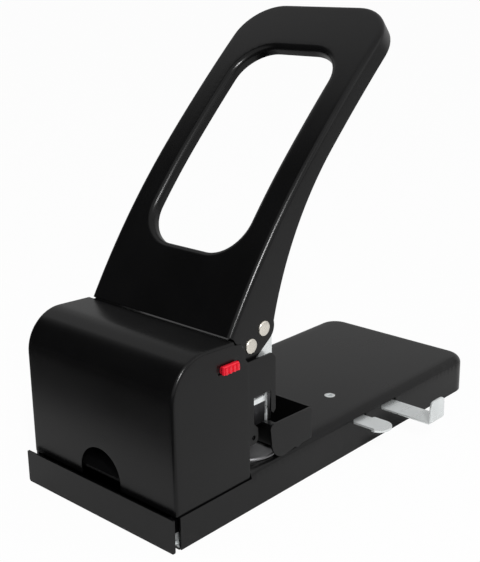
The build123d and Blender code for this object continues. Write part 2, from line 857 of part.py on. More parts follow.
# ---------------------------------------------------------------- paper clamp
def make_paper_clamp():
    lobe_y = clamp_back - clamp_lobe_in - clamp_lobe_radius
    turn = clamp_lobe_radius * sin(radians(45))
    low = clamp_lobe_z - clamp_lobe_radius
    shape = area(
        Edge.make_line((clamp_front, clamp_floor), (clamp_front, clamp_front_top)),
        Edge.make_line((clamp_front, clamp_front_top), (clamp_back, clamp_back_top)),
        Edge.make_line((clamp_back, clamp_back_top), (lobe_y + clamp_lobe_radius, clamp_lobe_z)),
        Edge.make_three_point_arc((lobe_y + clamp_lobe_radius, clamp_lobe_z),
                                  (lobe_y + turn, clamp_lobe_z - turn), (lobe_y, low)),
        Edge.make_line((lobe_y, low), (clamp_lobe_front, low)),
        Edge.make_line((clamp_lobe_front, low), (clamp_heel_y, clamp_floor)),
        Edge.make_line((clamp_heel_y, clamp_floor), (clamp_front, clamp_floor)))
    inner = clamp_half_width - clamp_sheet
    clamp = block(-inner, inner, clamp_front, clamp_floor_back, clamp_floor, clamp_floor + clamp_sheet)
    clamp += block(-inner, inner, clamp_front, clamp_front + clamp_sheet, clamp_floor, clamp_front_top)
    cheek = side_shape(shape, inner, clamp_half_width)
    cheek += block(ear_inner, inner, ear_front, ear_back, ear_top - clamp_sheet, ear_top)
    for piece in both_sides(cheek):
        clamp += piece
    return clamp


def make_clamp_hangers():
    strip_back = ear_front + hanger_strip
    shape = polygon((ear_front, ear_top), (ear_front, hanger_arm_top), (hanger_arm_back, hanger_arm_top),
                    (hanger_arm_back, hanger_arm_bottom), (strip_back, hanger_arm_bottom),
                    (strip_back, ear_top))
    hanger = side_shape(shape, ear_inner, hanger_outer)
    hanger += block(hanger_tab_inner, ear_inner, hanger_tab_front, hanger_arm_back,
                    hanger_arm_bottom, hanger_arm_bottom + hanger_sheet)
    return both_sides(hanger)


# ---------------------------------------------------------------- lock slider, on the left
def make_lock_knob():
    knob = block(lock_bar_outer, knob_out, knob_front, knob_back, knob_bottom, knob_top)
    outer_face = knob.faces().sort_by(Axis.X)[-1]
    knob = fillet(outer_face.edges(), knob_edge)
    pitch = (knob_back - knob_front) / (knob_grooves + 1)
    for i in range(knob_grooves):
        y = knob_front + pitch * (i + 1)
        knob -= block(knob_out - knob_groove_deep, knob_out + 1, y - knob_groove_wide / 2,
                      y + knob_groove_wide / 2, knob_bottom - 1, knob_top + 1)
    return mirrored(knob)


def make_lock_bar():
    bar = block(lock_bar_inner, lock_bar_outer, lock_bar_front, lock_bar_back, lock_bar_bottom, lock_bar_top)
    bar = fillet(bar.edges().filter_by(Axis.X), lock_bar_edge)
    bar += rod_x(lock_pin_radius, lock_pin_inner, lock_bar_inner, lock_pin_y, lock_pin_z)
    return mirrored(bar)


# ---------------------------------------------------------------- paper guide
def make_paper_guide():
    arm = block(-arm_out, arm_inner_end, guide_y - arm_half, guide_y + arm_half,
                arm_bottom, arm_bottom + arm_thick)
    stop = Pos(guide_y, (arm_bottom + arm_stop_top) / 2) * Rectangle(arm_width, arm_stop_top - arm_bottom)
    stop = fillet(stop.vertices().group_by(Axis.Y)[-1], arm_stop_corner)
    return arm + side_shape(stop, -arm_out, arm_thick - arm_out)


def make_guide_channel():
    half = arm_half + channel_gap
    wall = half + channel_sheet
    channel = block(-channel_half_long, channel_half_long, guide_y - wall, guide_y + wall,
                    channel_bottom, deck_under)
    channel -= block(-channel_half_long - 1, channel_half_long + 1, guide_y - half, guide_y + half,
                     channel_bottom + channel_sheet, deck_under + 1)
    channel += block(-channel_half_long, channel_half_long, guide_y + half, channel_foot_back,
                     channel_foot_under, deck_under)
    # an upright that the release spring leans on
    lean = release_inner_to + release_spring_long
    lean_front = release_y - channel_lean_half
    lean_back = release_y + channel_lean_half
    channel += block(lean, lean + channel_sheet, lean_front, lean_back,
                     release_bottom - channel_lean_drop, deck_under)
    channel += block(lean, channel_half_long, lean_front, lean_back, channel_foot_under, deck_under)
    for side in (-1, 1):
        channel -= rod_z(screw_radius + hole_gap, side * deck_screw_x, deck_screw_y,
                         channel_foot_under - 1, deck_under + 1)
    return channel


def make_guide_release():
    half = release_width / 2
    shape = flat(release_end_lap - release_out, release_inner_from, release_y - half, release_y + half)
    nose = RectangleRounded(release_end_long, release_end_width, release_end_corner)
    shape += Pos(-release_out + release_end_long / 2, release_y) * nose
    shape += flat(release_inner_from, release_inner_to, release_inner_front, release_y + half)
    finger_end = guide_y + arm_half + channel_gap
    shape += flat(release_finger_from, release_finger_to, finger_end, release_inner_front)
    slot_long = release_travel + 2 * (screw_radius + seat_gap)
    shape -= Pos(-deck_screw_x - release_travel / 2, deck_screw_y) * SlotOverall(
        slot_long, 2 * (screw_radius + seat_gap))
    return extrude(Pos(0, 0, release_bottom) * shape, amount=release_thick)


def make_release_spring():
    """A small spring hidden under the deck, between the release and the channel's upright."""
    z = release_bottom + release_thick / 2
    start = release_inner_to + seat_gap
    end = release_inner_to + release_spring_long - seat_gap
    tube = rod_x(release_spring_radius, start, end, release_y, z)
    return tube - rod_x(release_spring_radius - release_spring_wall, start - 1, end + 1, release_y, z)


def make_deck_screws():
    low = release_bottom - seat_gap - deck_nut_high
    screw = countersink(0) + rod_z(screw_radius - run_gap, 0, 0, low, base_top - base_sheet)
    return [Pos(side * deck_screw_x, deck_screw_y) * screw for side in (-1, 1)]


def make_deck_nuts():
    low_top = release_bottom - seat_gap
    nuts = []
    for x, top in ((-deck_screw_x, low_top), (deck_screw_x, channel_foot_under)):
        nut = Pos(x, deck_screw_y, top - deck_nut_high) * extrude(
            RegularPolygon(deck_nut_across / 2, 6, major_radius=False), amount=deck_nut_high)
        nuts.append(nut - rod_z(screw_radius, x, deck_screw_y, top - 10, top + 1))
    return nuts


def make_release_sleeve():
    low = release_bottom + release_thick + seat_gap
    sleeve = rod_z(sleeve_radius, -deck_screw_x, deck_screw_y, low, channel_foot_under)
    return sleeve - rod_z(screw_radius, -deck_screw_x, deck_screw_y, low - 1, deck_under)


# ---------------------------------------------------------------- writing the parts
def make_parts():
    side_plate = make_side_plate()
    bearing_plate = make_bearing_plate()
    die = make_die()
    yoke = make_yoke()
    pin = make_punch_pin()
    spring = make_return_spring()
    return {
        "base_plate": make_base_plate(),
        "rubber_sole": make_rubber_sole(),
        "bottom_plate": make_bottom_plate(),
        "base_posts": make_base_posts(),
        "base_screws": make_base_screws(),
        "chip_tray": make_chip_tray(),
        "tray_rails": make_tray_rails(),
        "cover": make_cover(),
        "cover_screws": make_cover_screws(),
        "frame_screws": make_frame_screws(),
        "side_plate_left": mirrored(side_plate),
        "side_plate_right": side_plate,
        "bearing_plate_left": mirrored(bearing_plate),
        "bearing_plate_right": bearing_plate,
        "tie_rods": make_tie_rods(),
        "guide_bridge": make_guide_bridge(),
        "guide_bushes": make_guide_bushes(),
        "back_stop": make_back_stop(),
        "die_left": mirrored(die),
        "die_right": die,
        "handle": make_handle(),
        "pivot_shaft": make_pivot_shaft(),
        "link_shaft": make_link_shaft(),
        "pivot_spacers": make_pivot_spacers(),
        "yoke_left": mirrored(yoke),
        "yoke_right": yoke,
        "punch_bar": make_punch_bar(),
        "punch_pin_left": mirrored(pin),
        "punch_pin_right": pin,
        "return_spring_left": mirrored(spring),
        "return_spring_right": spring,
        "paper_clamp": make_paper_clamp(),
        "clamp_hangers": make_clamp_hangers(),
        "lock_knob": make_lock_knob(),
        "lock_bar": make_lock_bar(),
        "paper_guide": make_paper_guide(),
        "guide_channel": make_guide_channel(),
        "guide_release": make_guide_release(),
        "release_spring": make_release_spring(),
        "release_sleeve": make_release_sleeve(),
        "deck_screws": make_deck_screws(),
        "deck_nuts": make_deck_nuts(),
    }


os.makedirs("parts", exist_ok=True)
for name, shape in make_parts().items():
    solids = shape if isinstance(shape, list) else [shape]
    solids = [solid for piece in solids for solid in piece.solids()]
    export_step(Compound(children=solids) if len(solids) > 1 else solids[0], "parts/" + name + ".step")
    print(name, len(solids))
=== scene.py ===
import json
import math

import bmesh
import bpy
import numpy as np
from mathutils import Matrix, Vector
from mathutils.geometry import delaunay_2d_cdt


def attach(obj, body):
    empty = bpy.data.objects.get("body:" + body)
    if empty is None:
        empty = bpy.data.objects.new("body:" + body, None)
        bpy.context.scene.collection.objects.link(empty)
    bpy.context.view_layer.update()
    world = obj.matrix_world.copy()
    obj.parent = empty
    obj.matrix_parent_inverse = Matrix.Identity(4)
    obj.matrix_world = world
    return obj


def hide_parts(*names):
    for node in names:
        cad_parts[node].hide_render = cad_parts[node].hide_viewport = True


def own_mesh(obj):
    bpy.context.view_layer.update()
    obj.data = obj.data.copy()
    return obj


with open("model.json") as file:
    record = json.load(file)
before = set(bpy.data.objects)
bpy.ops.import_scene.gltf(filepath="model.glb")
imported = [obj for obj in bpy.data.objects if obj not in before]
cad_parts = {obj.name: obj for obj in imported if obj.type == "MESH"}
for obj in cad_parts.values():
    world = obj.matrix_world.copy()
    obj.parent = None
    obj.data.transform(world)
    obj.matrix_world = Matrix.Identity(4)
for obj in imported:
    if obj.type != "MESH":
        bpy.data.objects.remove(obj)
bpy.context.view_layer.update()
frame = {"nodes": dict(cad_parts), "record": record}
cadNodes = frame["nodes"]
scene = bpy.context.scene
print("frame loaded with", len(cadNodes), "nodes")

# ---- camera, at the height and angle of the photograph; metres and degrees

viewpoint = {
    "place": (-0.4228, 0.4882, 0.3093),
    "yaw": 47.47,      # from +X towards -Y
    "pitch": 17.44,    # below the horizon
    "roll": -0.782, "lens": 66.45,
}


def makeCamera():
    yaw, pitch, roll = (math.radians(viewpoint[k]) for k in ("yaw", "pitch", "roll"))
    flat = math.cos(pitch)
    ahead = Vector((math.cos(yaw) * flat, -math.sin(yaw) * flat, -math.sin(pitch)))
    level = ahead.cross(Vector((0, 0, 1))).normalized()
    above = level.cross(ahead)
    right = level * math.cos(roll) + above * math.sin(roll)
    up = above * math.cos(roll) - level * math.sin(roll)
    data = bpy.data.cameras.new("camera")
    data.lens = viewpoint["lens"]
    data.clip_start, data.clip_end = 0.02, 60
    camera = bpy.data.objects.new("camera", data)
    turn = Matrix((right, up, -ahead)).transposed()
    camera.matrix_world = Matrix.Translation(viewpoint["place"]) @ turn.to_4x4()
    scene.collection.objects.link(camera)
    scene.camera = camera


makeCamera()

# ---- outlines in two dimensions

detail = {
    "arcTurn": 15,         # most degrees between an arc's points
    "arcStep": 0.0022,     # and most metres
    "outline": 0.004,      # distance between an outline's points
    "keepOff": 0.4,        # share of a step that filling points stay off an outline
    "merge": 4e-6,         # points nearer than this are one
    "tiny": 1e-7,
    "bevelFrom": 50,       # degrees; an edge sharper than this is broken
    "smoothTo": 42,
    "overlap": 0.0002,     # how far a tab reaches into its plate
}


def arcPoints(centre, radius, start, end, count):
    turns = [math.radians(start + (end - start) * i / count) for i in range(count + 1)]
    return [(centre[0] + radius * math.cos(a), centre[1] + radius * math.sin(a)) for a in turns]


def stepped(a, b, step):
    # points from a up to, but not with, b
    count = max(1, math.ceil(math.dist(a, b) / step - 1e-6))
    return [tuple(p + (q - p) * i / count for p, q in zip(a, b)) for i in range(count)]


def openLine(points, step=detail["outline"]):
    line = []
    for a, b in zip(points, points[1:]):
        if math.dist(a, b) > detail["tiny"]:
            line += stepped(a, b, step)
    return line + [tuple(points[-1])]


def closedLine(points, step=detail["outline"]):
    return openLine(points + points[:1], step)[:-1]


def bendProfile(radius, parts=6):
    # a bend of a quarter turn: distance inward and distance down
    turns = [math.radians(90 * i / parts) for i in range(parts + 1)]
    return [(radius * (1 - math.sin(a)), radius * (1 - math.cos(a))) for a in turns]


def roundedCorners(corners, radius):
    # an outline with each corner rounded; one radius, or one for each corner
    radii = radius if isinstance(radius, (list, tuple)) else [radius] * len(corners)
    line = []
    for i, corner in enumerate(corners):
        here = Vector(corner)
        back = (Vector(corners[i - 1]) - here).normalized()
        on = (Vector(corners[(i + 1) % len(corners)]) - here).normalized()
        half = math.acos(max(-1, min(1, back.dot(on)))) / 2
        if radii[i] <= 0 or half > 1.55:     # square, or nearly straight
            line.append(tuple(here))
            continue
        reach = radii[i] / math.tan(half)
        centre = here + (back + on).normalized() * radii[i] / math.sin(half)
        a, b = here + back * reach - centre, here + on * reach - centre
        first = math.atan2(a.y, a.x)
        sweep = math.atan2(a.x * b.y - a.y * b.x, a.dot(b))
        count = max(3, math.ceil(abs(sweep) / math.radians(detail["arcTurn"])),
            math.ceil(abs(sweep) * radii[i] / detail["arcStep"]))
        first, sweep = math.degrees(first), math.degrees(sweep)
        line += arcPoints(centre, radii[i], first, first + sweep, count)
    return line


def rectangle(x0, y0, x1, y1, radius):
    return roundedCorners([(x0, y0), (x1, y0), (x1, y1), (x0, y1)], radius)


def longHole(x, y, halfLong, halfHigh):
    return rectangle(x - halfLong, y - halfHigh, x + halfLong, y + halfHigh, halfHigh * 0.999)


def roundHole(centre, radius, count):
    return arcPoints(centre, radius, 0, 360 - 360 / count, count - 1)


def insideOf(points, loops):
    # even-odd test of many points against closed outlines
    points = np.asarray(points, float).reshape(-1, 2)
    inside = np.zeros(len(points), bool)
    for loop in loops:
        for (x0, y0), (x1, y1) in zip(loop, loop[1:] + loop[:1]):
            if y0 == y1:
                continue
            level = (y0 > points[:, 1]) != (y1 > points[:, 1])
            inside ^= level & (points[:, 0] < (x1 - x0) * (points[:, 1] - y0) / (y1 - y0) + x0)
    return inside


def roundedEnd(half, end, corner, count, step, left=()):
    # stations round an end, from left to right: place and inward way
    arc = [(x, y, (corner - half - x) / corner, (end + corner - y) / corner)
        for x, y in arcPoints((corner - half, end + corner), corner, 180, 270, count)]
    left = [*left, *(arc[1:] if left else arc)]
    middle = openLine([(corner - half, end), (half - corner, end)], step)[1:-1]
    right = [(-x, y, -nx, ny) for x, y, nx, ny in reversed(left)]
    return left + [(x, y, 0, 1) for x, y in middle] + right


# ---- pressed sheet: an outer skin of filled areas and rows, then its thickness and edges


class Skin:
    def __init__(self):
        self.points, self.faces = [], []

    def fill(self, outline, place, holes=(), step=0.004, more=()):
        # a flat outline filled with even triangles, each point then put in place
        loops = [list(outline)] + [list(hole) for hole in holes]
        border = np.array([p for loop in loops for p in loop], float)
        low, high = border.min(0), border.max(0)
        grid = [(x, y) for x in np.arange(low[0] + step / 2, high[0], step)
            for y in np.arange(low[1] + step / 2, high[1], step)]
        grid = np.array(grid + list(more), float).reshape(-1, 2)
        grid = grid[insideOf(grid, loops)]
        apart = np.sqrt(((grid[:, None] - border[None]) ** 2).sum(2)).min(1)
        grid = grid[apart > step * detail["keepOff"]]
        edges, start = [], 0
        for loop in loops:
            edges += [(start + i, start + (i + 1) % len(loop)) for i in range(len(loop))]
            start += len(loop)
        spots = [Vector(p) for p in border] + [Vector(p) for p in grid]
        made, _, triangles = delaunay_2d_cdt(spots, edges, [], 0, detail["tiny"])[:3]
        flat = np.array([tuple(p) for p in made], float)
        middles = np.array([flat[list(t)].mean(0) for t in triangles])
        kept = [t for t, good in zip(triangles, insideOf(middles, loops)) if good]
        first = len(self.points)
        self.points += [tuple(place(*p)) for p in flat]
        self.faces += [tuple(first + i for i in t) for t in kept]

    def rows(self, rows, closed=False):
        # quads between neighbouring rows of points
        first, wide = len(self.points), len(rows[0])
        for row in rows:
            self.points += [tuple(p) for p in row]
        for r in range(len(rows) - 1):
            for i in range(wide if closed else wide - 1):
                a, b = first + r * wide + i, first + r * wide + (i + 1) % wide
                self.faces.append((a, b, b + wide, a + wide))

    def piece(self, name, facing):
        mesh = bpy.data.meshes.new(name)
        mesh.from_pydata(self.points, [], self.faces)
        work = bmesh.new()
        work.from_mesh(mesh)
        bpy.data.meshes.remove(mesh)
        bmesh.ops.remove_doubles(work, verts=work.verts, dist=detail["merge"])
        bmesh.ops.dissolve_degenerate(work, edges=work.edges, dist=detail["tiny"])
        loose = [v for v in work.verts if not v.link_faces]
        bmesh.ops.delete(work, geom=loose, context="VERTS")
        bmesh.ops.recalc_face_normals(work, faces=work.faces)
        facing = Vector(facing)
        outermost = max(work.faces, key=lambda f: f.calc_center_median().dot(facing))
        if outermost.normal.dot(facing) < 0:
            bmesh.ops.reverse_faces(work, faces=work.faces)
        return finished(name, work)


def addObject(name, mesh):
    piece = bpy.data.objects.new(name, mesh)
    scene.collection.objects.link(piece)
    return piece


def finished(name, work):
    # a mesh under work becomes an object
    mesh = bpy.data.meshes.new(name)
    work.to_mesh(mesh)
    work.free()
    return addObject(name, mesh)


def asPlainMesh(piece):
    # modifiers become part of the mesh
    graph = bpy.context.evaluated_depsgraph_get()
    mesh = bpy.data.meshes.new_from_object(piece.evaluated_get(graph))
    piece.modifiers.clear()
    piece.data = mesh
    mesh.name = piece.name
    return piece


def smoothed(piece, angle=detail["smoothTo"]):
    piece.data.shade_smooth()
    piece.data.set_sharp_from_angle(angle=math.radians(angle))
    return piece


def evened(piece, weight=50):
    # face-weighted normals keep the flats flat beside a bevel
    asPlainMesh(piece)
    smoothed(piece)
    even = piece.modifiers.new("even", "WEIGHTED_NORMAL")
    even.keep_sharp, even.weight = True, weight
    return asPlainMesh(piece)


def pressed(name, skin, facing, sheet, edge=0.0003):
    # gives a skin its sheet thickness, inward, and breaks the cut edges
    piece = skin.piece(name, facing)
    wall = piece.modifiers.new("wall", "SOLIDIFY")
    wall.thickness, wall.use_even_offset, wall.use_quality_normals = sheet, True, True
    wall.offset = -1
    rim = piece.modifiers.new("rim", "BEVEL")
    rim.width, rim.segments, rim.limit_method = edge, 2, "ANGLE"
    rim.angle_limit, rim.use_clamp_overlap = math.radians(detail["bevelFrom"]), True
    return evened(piece, 80)


def sidePlate(name, outline, side, depths, edge, step, holes=()):
    # a flat plate drawn in Y and Z, between two distances from the middle
    skin = Skin()
    inner, outer = depths
    skin.fill(closedLine(outline, step), lambda y, z: (side * outer, y, z), holes, step)
    return pressed(name, skin, (side, 0, 0), outer - inner, edge)


def turnTo(axis):
    return Vector((0, 0, 1)).rotation_difference(Vector(axis)).to_matrix().to_4x4()


def turned(name, profile, place, axis, segments):
    # a lathe shape: radius and height along its axis, which starts at place
    work = bmesh.new()
    rings = []
    for radius, height in profile:
        count = segments if radius > detail["tiny"] else 1
        turns = [2 * math.pi * i / segments for i in range(count)]
        rings.append([work.verts.new((radius * math.cos(a), radius * math.sin(a), height))
            for a in turns])
    for a, b in zip(rings, rings[1:]):
        for i in range(segments):
            j = (i + 1) % segments
            corners = [a[i % len(a)], a[j % len(a)], b[j % len(b)], b[i % len(b)]]
            work.faces.new(list(dict.fromkeys(corners)))
    bmesh.ops.recalc_face_normals(work, faces=work.faces)
    work.transform(Matrix.Translation(place) @ turnTo(axis))
    return smoothed(finished(name, work), 35)


def softBox(name, low, high, edge):
    # a block with rounded edges
    work = bmesh.new()
    bmesh.ops.create_cube(work, size=1)
    middle = (Vector(low) + Vector(high)) / 2
    size = Vector(high) - Vector(low)
    for v in work.verts:
        v.co = Vector(c * s for c, s in zip(v.co, size)) + middle
    piece = finished(name, work)
    rim = piece.modifiers.new("rim", "BEVEL")
    rim.width, rim.segments = edge, 3
    return evened(piece)


sides = ((-1, "left"), (1, "right"))


def sideBox(name, side, depths, y0, y1, z0, z1, edge):
    # a block between two distances from the middle
    low, high = sorted(side * d for d in depths)
    return softBox(name, (low, y0, z0), (high, y1, z1), edge)


def joined(name, pieces):
    # several meshes as one object
    piece = pieces[0]
    with bpy.context.temp_override(active_object=piece, selected_editable_objects=pieces):
        bpy.ops.object.join()
    piece.name = piece.data.name = name
    return piece


def seat(piece, body, node, slotName="black_enamel"):
    # body, record slot and its finish for a finished piece, which stands for one CAD node
    piece.data.materials.clear()
    piece.data.materials.append(finishes[slotName])
    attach(piece, body)
    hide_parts(node)


# ---- finishes, all on Object coordinates


def feed(tree, node, values):
    # inputs of a node: a socket is linked, anything else is set
    for label, value in values.items():
        if isinstance(value, bpy.types.NodeSocket):
            tree.links.new(value, node.inputs[label])
        else:
            node.inputs[label].default_value = value


def newNode(tree, kind, values=None, **settings):
    # kind goes without the prefix that is the same for most nodes of a tree
    prefix = "ShaderNode" if tree.type == "SHADER" else "GeometryNode"
    node = tree.nodes.new(kind if "Node" in kind else prefix + kind)
    for name, setting in settings.items():
        setattr(node, name, setting)
    feed(tree, node, values or {})
    return node


def newFinish(name, colour, rough, metal=0.0):
    material = bpy.data.materials.new(name)
    material.use_nodes = True
    tree = material.node_tree
    shader = tree.nodes["Principled BSDF"]
    feed(tree, shader, {"Base Color": (*colour, 1), "Roughness": rough, "Metallic": metal})
    return material, tree, shader


def speckle(tree, scale, fine=3.0, stretch=(1, 1, 1)):
    # noise over the piece; a larger stretch makes the pattern finer that way
    coords = newNode(tree, "TexCoord")
    mapping = newNode(tree, "Mapping", {"Vector": coords.outputs["Object"], "Scale": stretch})
    noise = newNode(tree, "TexNoise", {"Vector": mapping.outputs["Vector"],
        "Scale": scale, "Detail": fine})
    return noise.outputs["Fac"]


def between(tree, value, start, end, low=0.0, high=1.0, **settings):
    ramp = newNode(tree, "MapRange", {"Value": value, "From Min": start, "From Max": end,
        "To Min": low, "To Max": high}, **settings)
    return ramp.outputs["Result"]


def blended(tree, share, first, second):
    # from one colour to another; the numbers are the mix node's colour sockets
    ends = [(*c, 1) if isinstance(c, tuple) else c for c in (first, second)]
    mix = newNode(tree, "Mix", {0: share, 6: ends[0], 7: ends[1]}, data_type="RGBA")
    return mix.outputs[2]


def reckoned(tree, operation, first, second):
    node = newNode(tree, "Math", {0: first, 1: second}, operation=operation)
    return node.outputs["Value"]


def bumped(tree, height, depth, strength):
    # depth is in metres
    bump = newNode(tree, "Bump", {"Height": height, "Distance": depth, "Strength": strength})
    return bump.outputs["Normal"]


enamelLook = {
    "colour": (0.0016, 0.0016, 0.0017), "dust": (0.005, 0.005, 0.005), "dustScale": 900,
    "dustFrom": (0.735, 0.78), "hazeScale": 26, "gloss": 0.25, "rough": (0.235, 0.275),
    "peel": 0.000012,     # depth of the orange peel
    "peelScale": 420,
}


def blackEnamel():
    # stove enamel on steel: orange peel, a little handling haze and rare dust specks
    look = enamelLook
    material, tree, shader = newFinish("blackEnamel", look["colour"], 0.3)
    haze = speckle(tree, look["hazeScale"], 5)
    dust = between(tree, speckle(tree, look["dustScale"], 1), *look["dustFrom"])
    hazy = tuple(c * 1.5 for c in look["colour"])
    colour = blended(tree, between(tree, haze, 0.35, 0.75), look["colour"], hazy)
    feed(tree, shader, {
        "Specular IOR Level": look["gloss"],
        "Base Color": blended(tree, dust, colour, look["dust"]),
        "Roughness": between(tree, haze, 0.3, 0.7, *look["rough"]),
        "Normal": bumped(tree, speckle(tree, look["peelScale"], 2), look["peel"], 0.25),
    })
    return material


def platedMetal(name, colour, rough, grain=(1, 1, 1), depth=0.00001, scale=260, metal=1.0):
    # rolled or turned metal under thin plating, with fine lines along its grain
    material, tree, shader = newFinish(name, colour, rough, metal)
    cloud = speckle(tree, 60, 4)
    lines = speckle(tree, scale, 3, grain)
    darker = tuple(c * 0.86 for c in colour)
    feed(tree, shader, {
        "Base Color": blended(tree, between(tree, cloud, 0.3, 0.7), colour, darker),
        "Roughness": between(tree, lines, 0.25, 0.75, rough * 0.8, rough * 1.25),
        "Normal": bumped(tree, lines, depth, 0.6),
    })
    return material


def moulded(name, colour, rough, mottle, light, dark, relief, roughFrom=None):
    # plastic or rubber: mottle and relief are noise, then the relief's depth and strength
    material, tree, shader = newFinish(name, colour, rough)
    spots = speckle(tree, *mottle)
    scale, fine, depth, strength = relief
    feed(tree, shader, {
        "Base Color": blended(tree, spots, light, dark),
        "Normal": bumped(tree, speckle(tree, scale, fine), depth, strength),
    })
    if roughFrom:
        feed(tree, shader, {"Roughness": between(tree, spots, 0.3, 0.7, *roughFrom)})
    return material


finishes = {
    "black_enamel": blackEnamel(),
    "zinc_plate": platedMetal("zincPlate", (0.89, 0.92, 0.92), 0.30, (1, 0.12, 1), metal=0.78),
    "dark_steel": platedMetal("darkSteel", (0.10, 0.10, 0.105), 0.42, (1, 1, 0.2)),
    "nickel_rivet": platedMetal("nickelRivet", (0.86, 0.82, 0.74), 0.26, depth=0.000012, scale=700),
    "tool_steel": platedMetal("toolSteel", (0.21, 0.21, 0.215), 0.46, (1, 0.2, 1)),
    "brass_bush": platedMetal("brassBush", (0.72, 0.53, 0.24), 0.30),
    "spring_steel": platedMetal("springSteel", (0.50, 0.50, 0.51), 0.32),
    "red_plastic": moulded("redPlastic", (0.62, 0.008, 0.022), 0.34, (380, 4), (0.66, 0.009, 0.024),
        (0.50, 0.006, 0.018), (1500, 2, 0.000015, 0.5), (0.28, 0.42)),
    "rubber": moulded("blackRubber", (0.012, 0.012, 0.012), 0.85, (700, 3), (0.009, 0.009, 0.009),
        (0.02, 0.02, 0.02), (700, 3, 0.00006, 0.7)),
}
print("finishes made:", len(finishes))

# ---- Geometry Nodes for what repeats


def startTree(name, **kinds):
    # a tree with named inputs; gives the tree and its input sockets
    tree = bpy.data.node_groups.new(name, "GeometryNodeTree")
    face = tree.interface
    face.new_socket("Geometry", in_out="INPUT", socket_type="NodeSocketGeometry")
    for label, kind in kinds.items():
        face.new_socket(label, in_out="INPUT", socket_type="NodeSocket" + kind)
    face.new_socket("Geometry", in_out="OUTPUT", socket_type="NodeSocketGeometry")
    return tree, newNode(tree, "NodeGroupInput").outputs


def endTree(tree, shape):
    # instances become real
    real = newNode(tree, "RealizeInstances", {0: shape})
    newNode(tree, "NodeGroupOutput", {"Geometry": real.outputs[0]})
    return tree


def grown(name, tree, values, points=((0, 0, 0),), facing=None):
    # runs a tree on a few points and keeps its result as a plain mesh
    mesh = bpy.data.meshes.new(name)
    mesh.from_pydata([tuple(p) for p in points], [], [])
    if facing:
        attribute = mesh.attributes.new("facing", "FLOAT_VECTOR", "POINT")
        attribute.data.foreach_set("vector", [c for f in facing for c in f])
    piece = addObject(name, mesh)
    modifier = piece.modifiers.new("grow", "NODES")
    modifier.node_group = tree
    sockets = {s.name: s.identifier for s in tree.interface.items_tree if s.in_out == "INPUT"}
    for label, value in values.items():
        modifier[sockets[label]] = value
    return asPlainMesh(piece)


def onPoints(tree, points, shape, **values):
    place = newNode(tree, "InstanceOnPoints", {"Points": points, "Instance": shape, **values})
    return place.outputs["Instances"]


def wireAlong(tree, path, radius, sides):
    # a round wire along a curve, closed at its ends
    ring = newNode(tree, "CurvePrimitiveCircle", {"Resolution": sides, "Radius": radius})
    tube = newNode(tree, "CurveToMesh",
        {"Curve": path.outputs["Curve"], "Profile Curve": ring.outputs["Curve"], "Fill Caps": True})
    return tube.outputs["Mesh"]


def headsTree():
    # one head on each point, its axis along the point's "facing"
    tree, given = startTree("headsOnPoints", Head="Object")
    head = newNode(tree, "ObjectInfo", {"Object": given["Head"]})
    way = newNode(tree, "InputNamedAttribute", {"Name": "facing"}, data_type="FLOAT_VECTOR")
    aim = newNode(tree, "FunctionNodeAlignRotationToVector", {"Vector": way.outputs["Attribute"]},
        axis="Z")
    heads = onPoints(tree, given["Geometry"], head.outputs["Geometry"],
        Rotation=aim.outputs["Rotation"])
    return endTree(tree, heads)


def coilTree():
    # a wire helix that stands on each point
    tree, given = startTree("wireCoil", Radius="Float", Height="Float", Turns="Float", Wire="Float")
    spiral = newNode(tree, "CurveSpiral", {
        "Resolution": 28, "Start Radius": given["Radius"], "End Radius": given["Radius"],
        "Height": given["Height"], "Rotations": given["Turns"]})
    wire = wireAlong(tree, spiral, given["Wire"], 12)
    return endTree(tree, onPoints(tree, given["Geometry"], wire))


def ribsTree():
    # a row of round upright ribs that starts at each point
    tree, given = startTree("ribsInRow", Count="Int", Pitch="Vector", Length="Vector",
        Radius="Float")
    row = newNode(tree, "MeshLine", {"Count": given["Count"], "Offset": given["Pitch"]})
    stick = newNode(tree, "CurvePrimitiveLine", {"End": given["Length"]})
    ribs = onPoints(tree, row.outputs["Mesh"], wireAlong(tree, stick, given["Radius"], 16))
    return endTree(tree, onPoints(tree, given["Geometry"], ribs))


headsOnPoints, wireCoil, ribsInRow = headsTree(), coilTree(), ribsTree()

# ---- lever: one pressed channel with a turned window

lever = {
    "halfWidth": 0.0586, "sheet": 0.0015, "bend": 0.003,
    "crease": (0.0315, 0.1976),    # Y and Z where the two arcs meet
    "angle": 46.0, "lowRadius": 0.5, "lowLength": 0.1122, "highRadius": 1.2,
    "highLength": 0.118, "corner": 0.029, "flange": 0.0127,
    "flangeRows": (0.0054, 0.0078, 0.0102), "flangeStraight": -0.017,
    "pivot": (0.0828, 0.0995), "link": (0.0717, 0.1072), "lug": 0.0092, "lugEdge": 165.0,
    "windowHalf": 0.0386, "windowLow": 0.0672, "windowHigh": -0.0800,
    "windowCorner": 0.0235, "windowWall": (0.0055, 0.0072), "windowBend": 0.0038,
    "step": 0.0042,
}


def leverPoint(x, along, depth):
    # along is positive towards the pivot, depth is under the outer face
    radius = lever["lowRadius"] if along > 0 else lever["highRadius"]
    start = math.radians(lever["angle"])
    turn = start + along / radius
    y, z = lever["crease"]
    return (x, y - math.sin(start) * radius + math.sin(turn) * (radius - depth),
        z - math.cos(start) * radius + math.cos(turn) * (radius - depth))


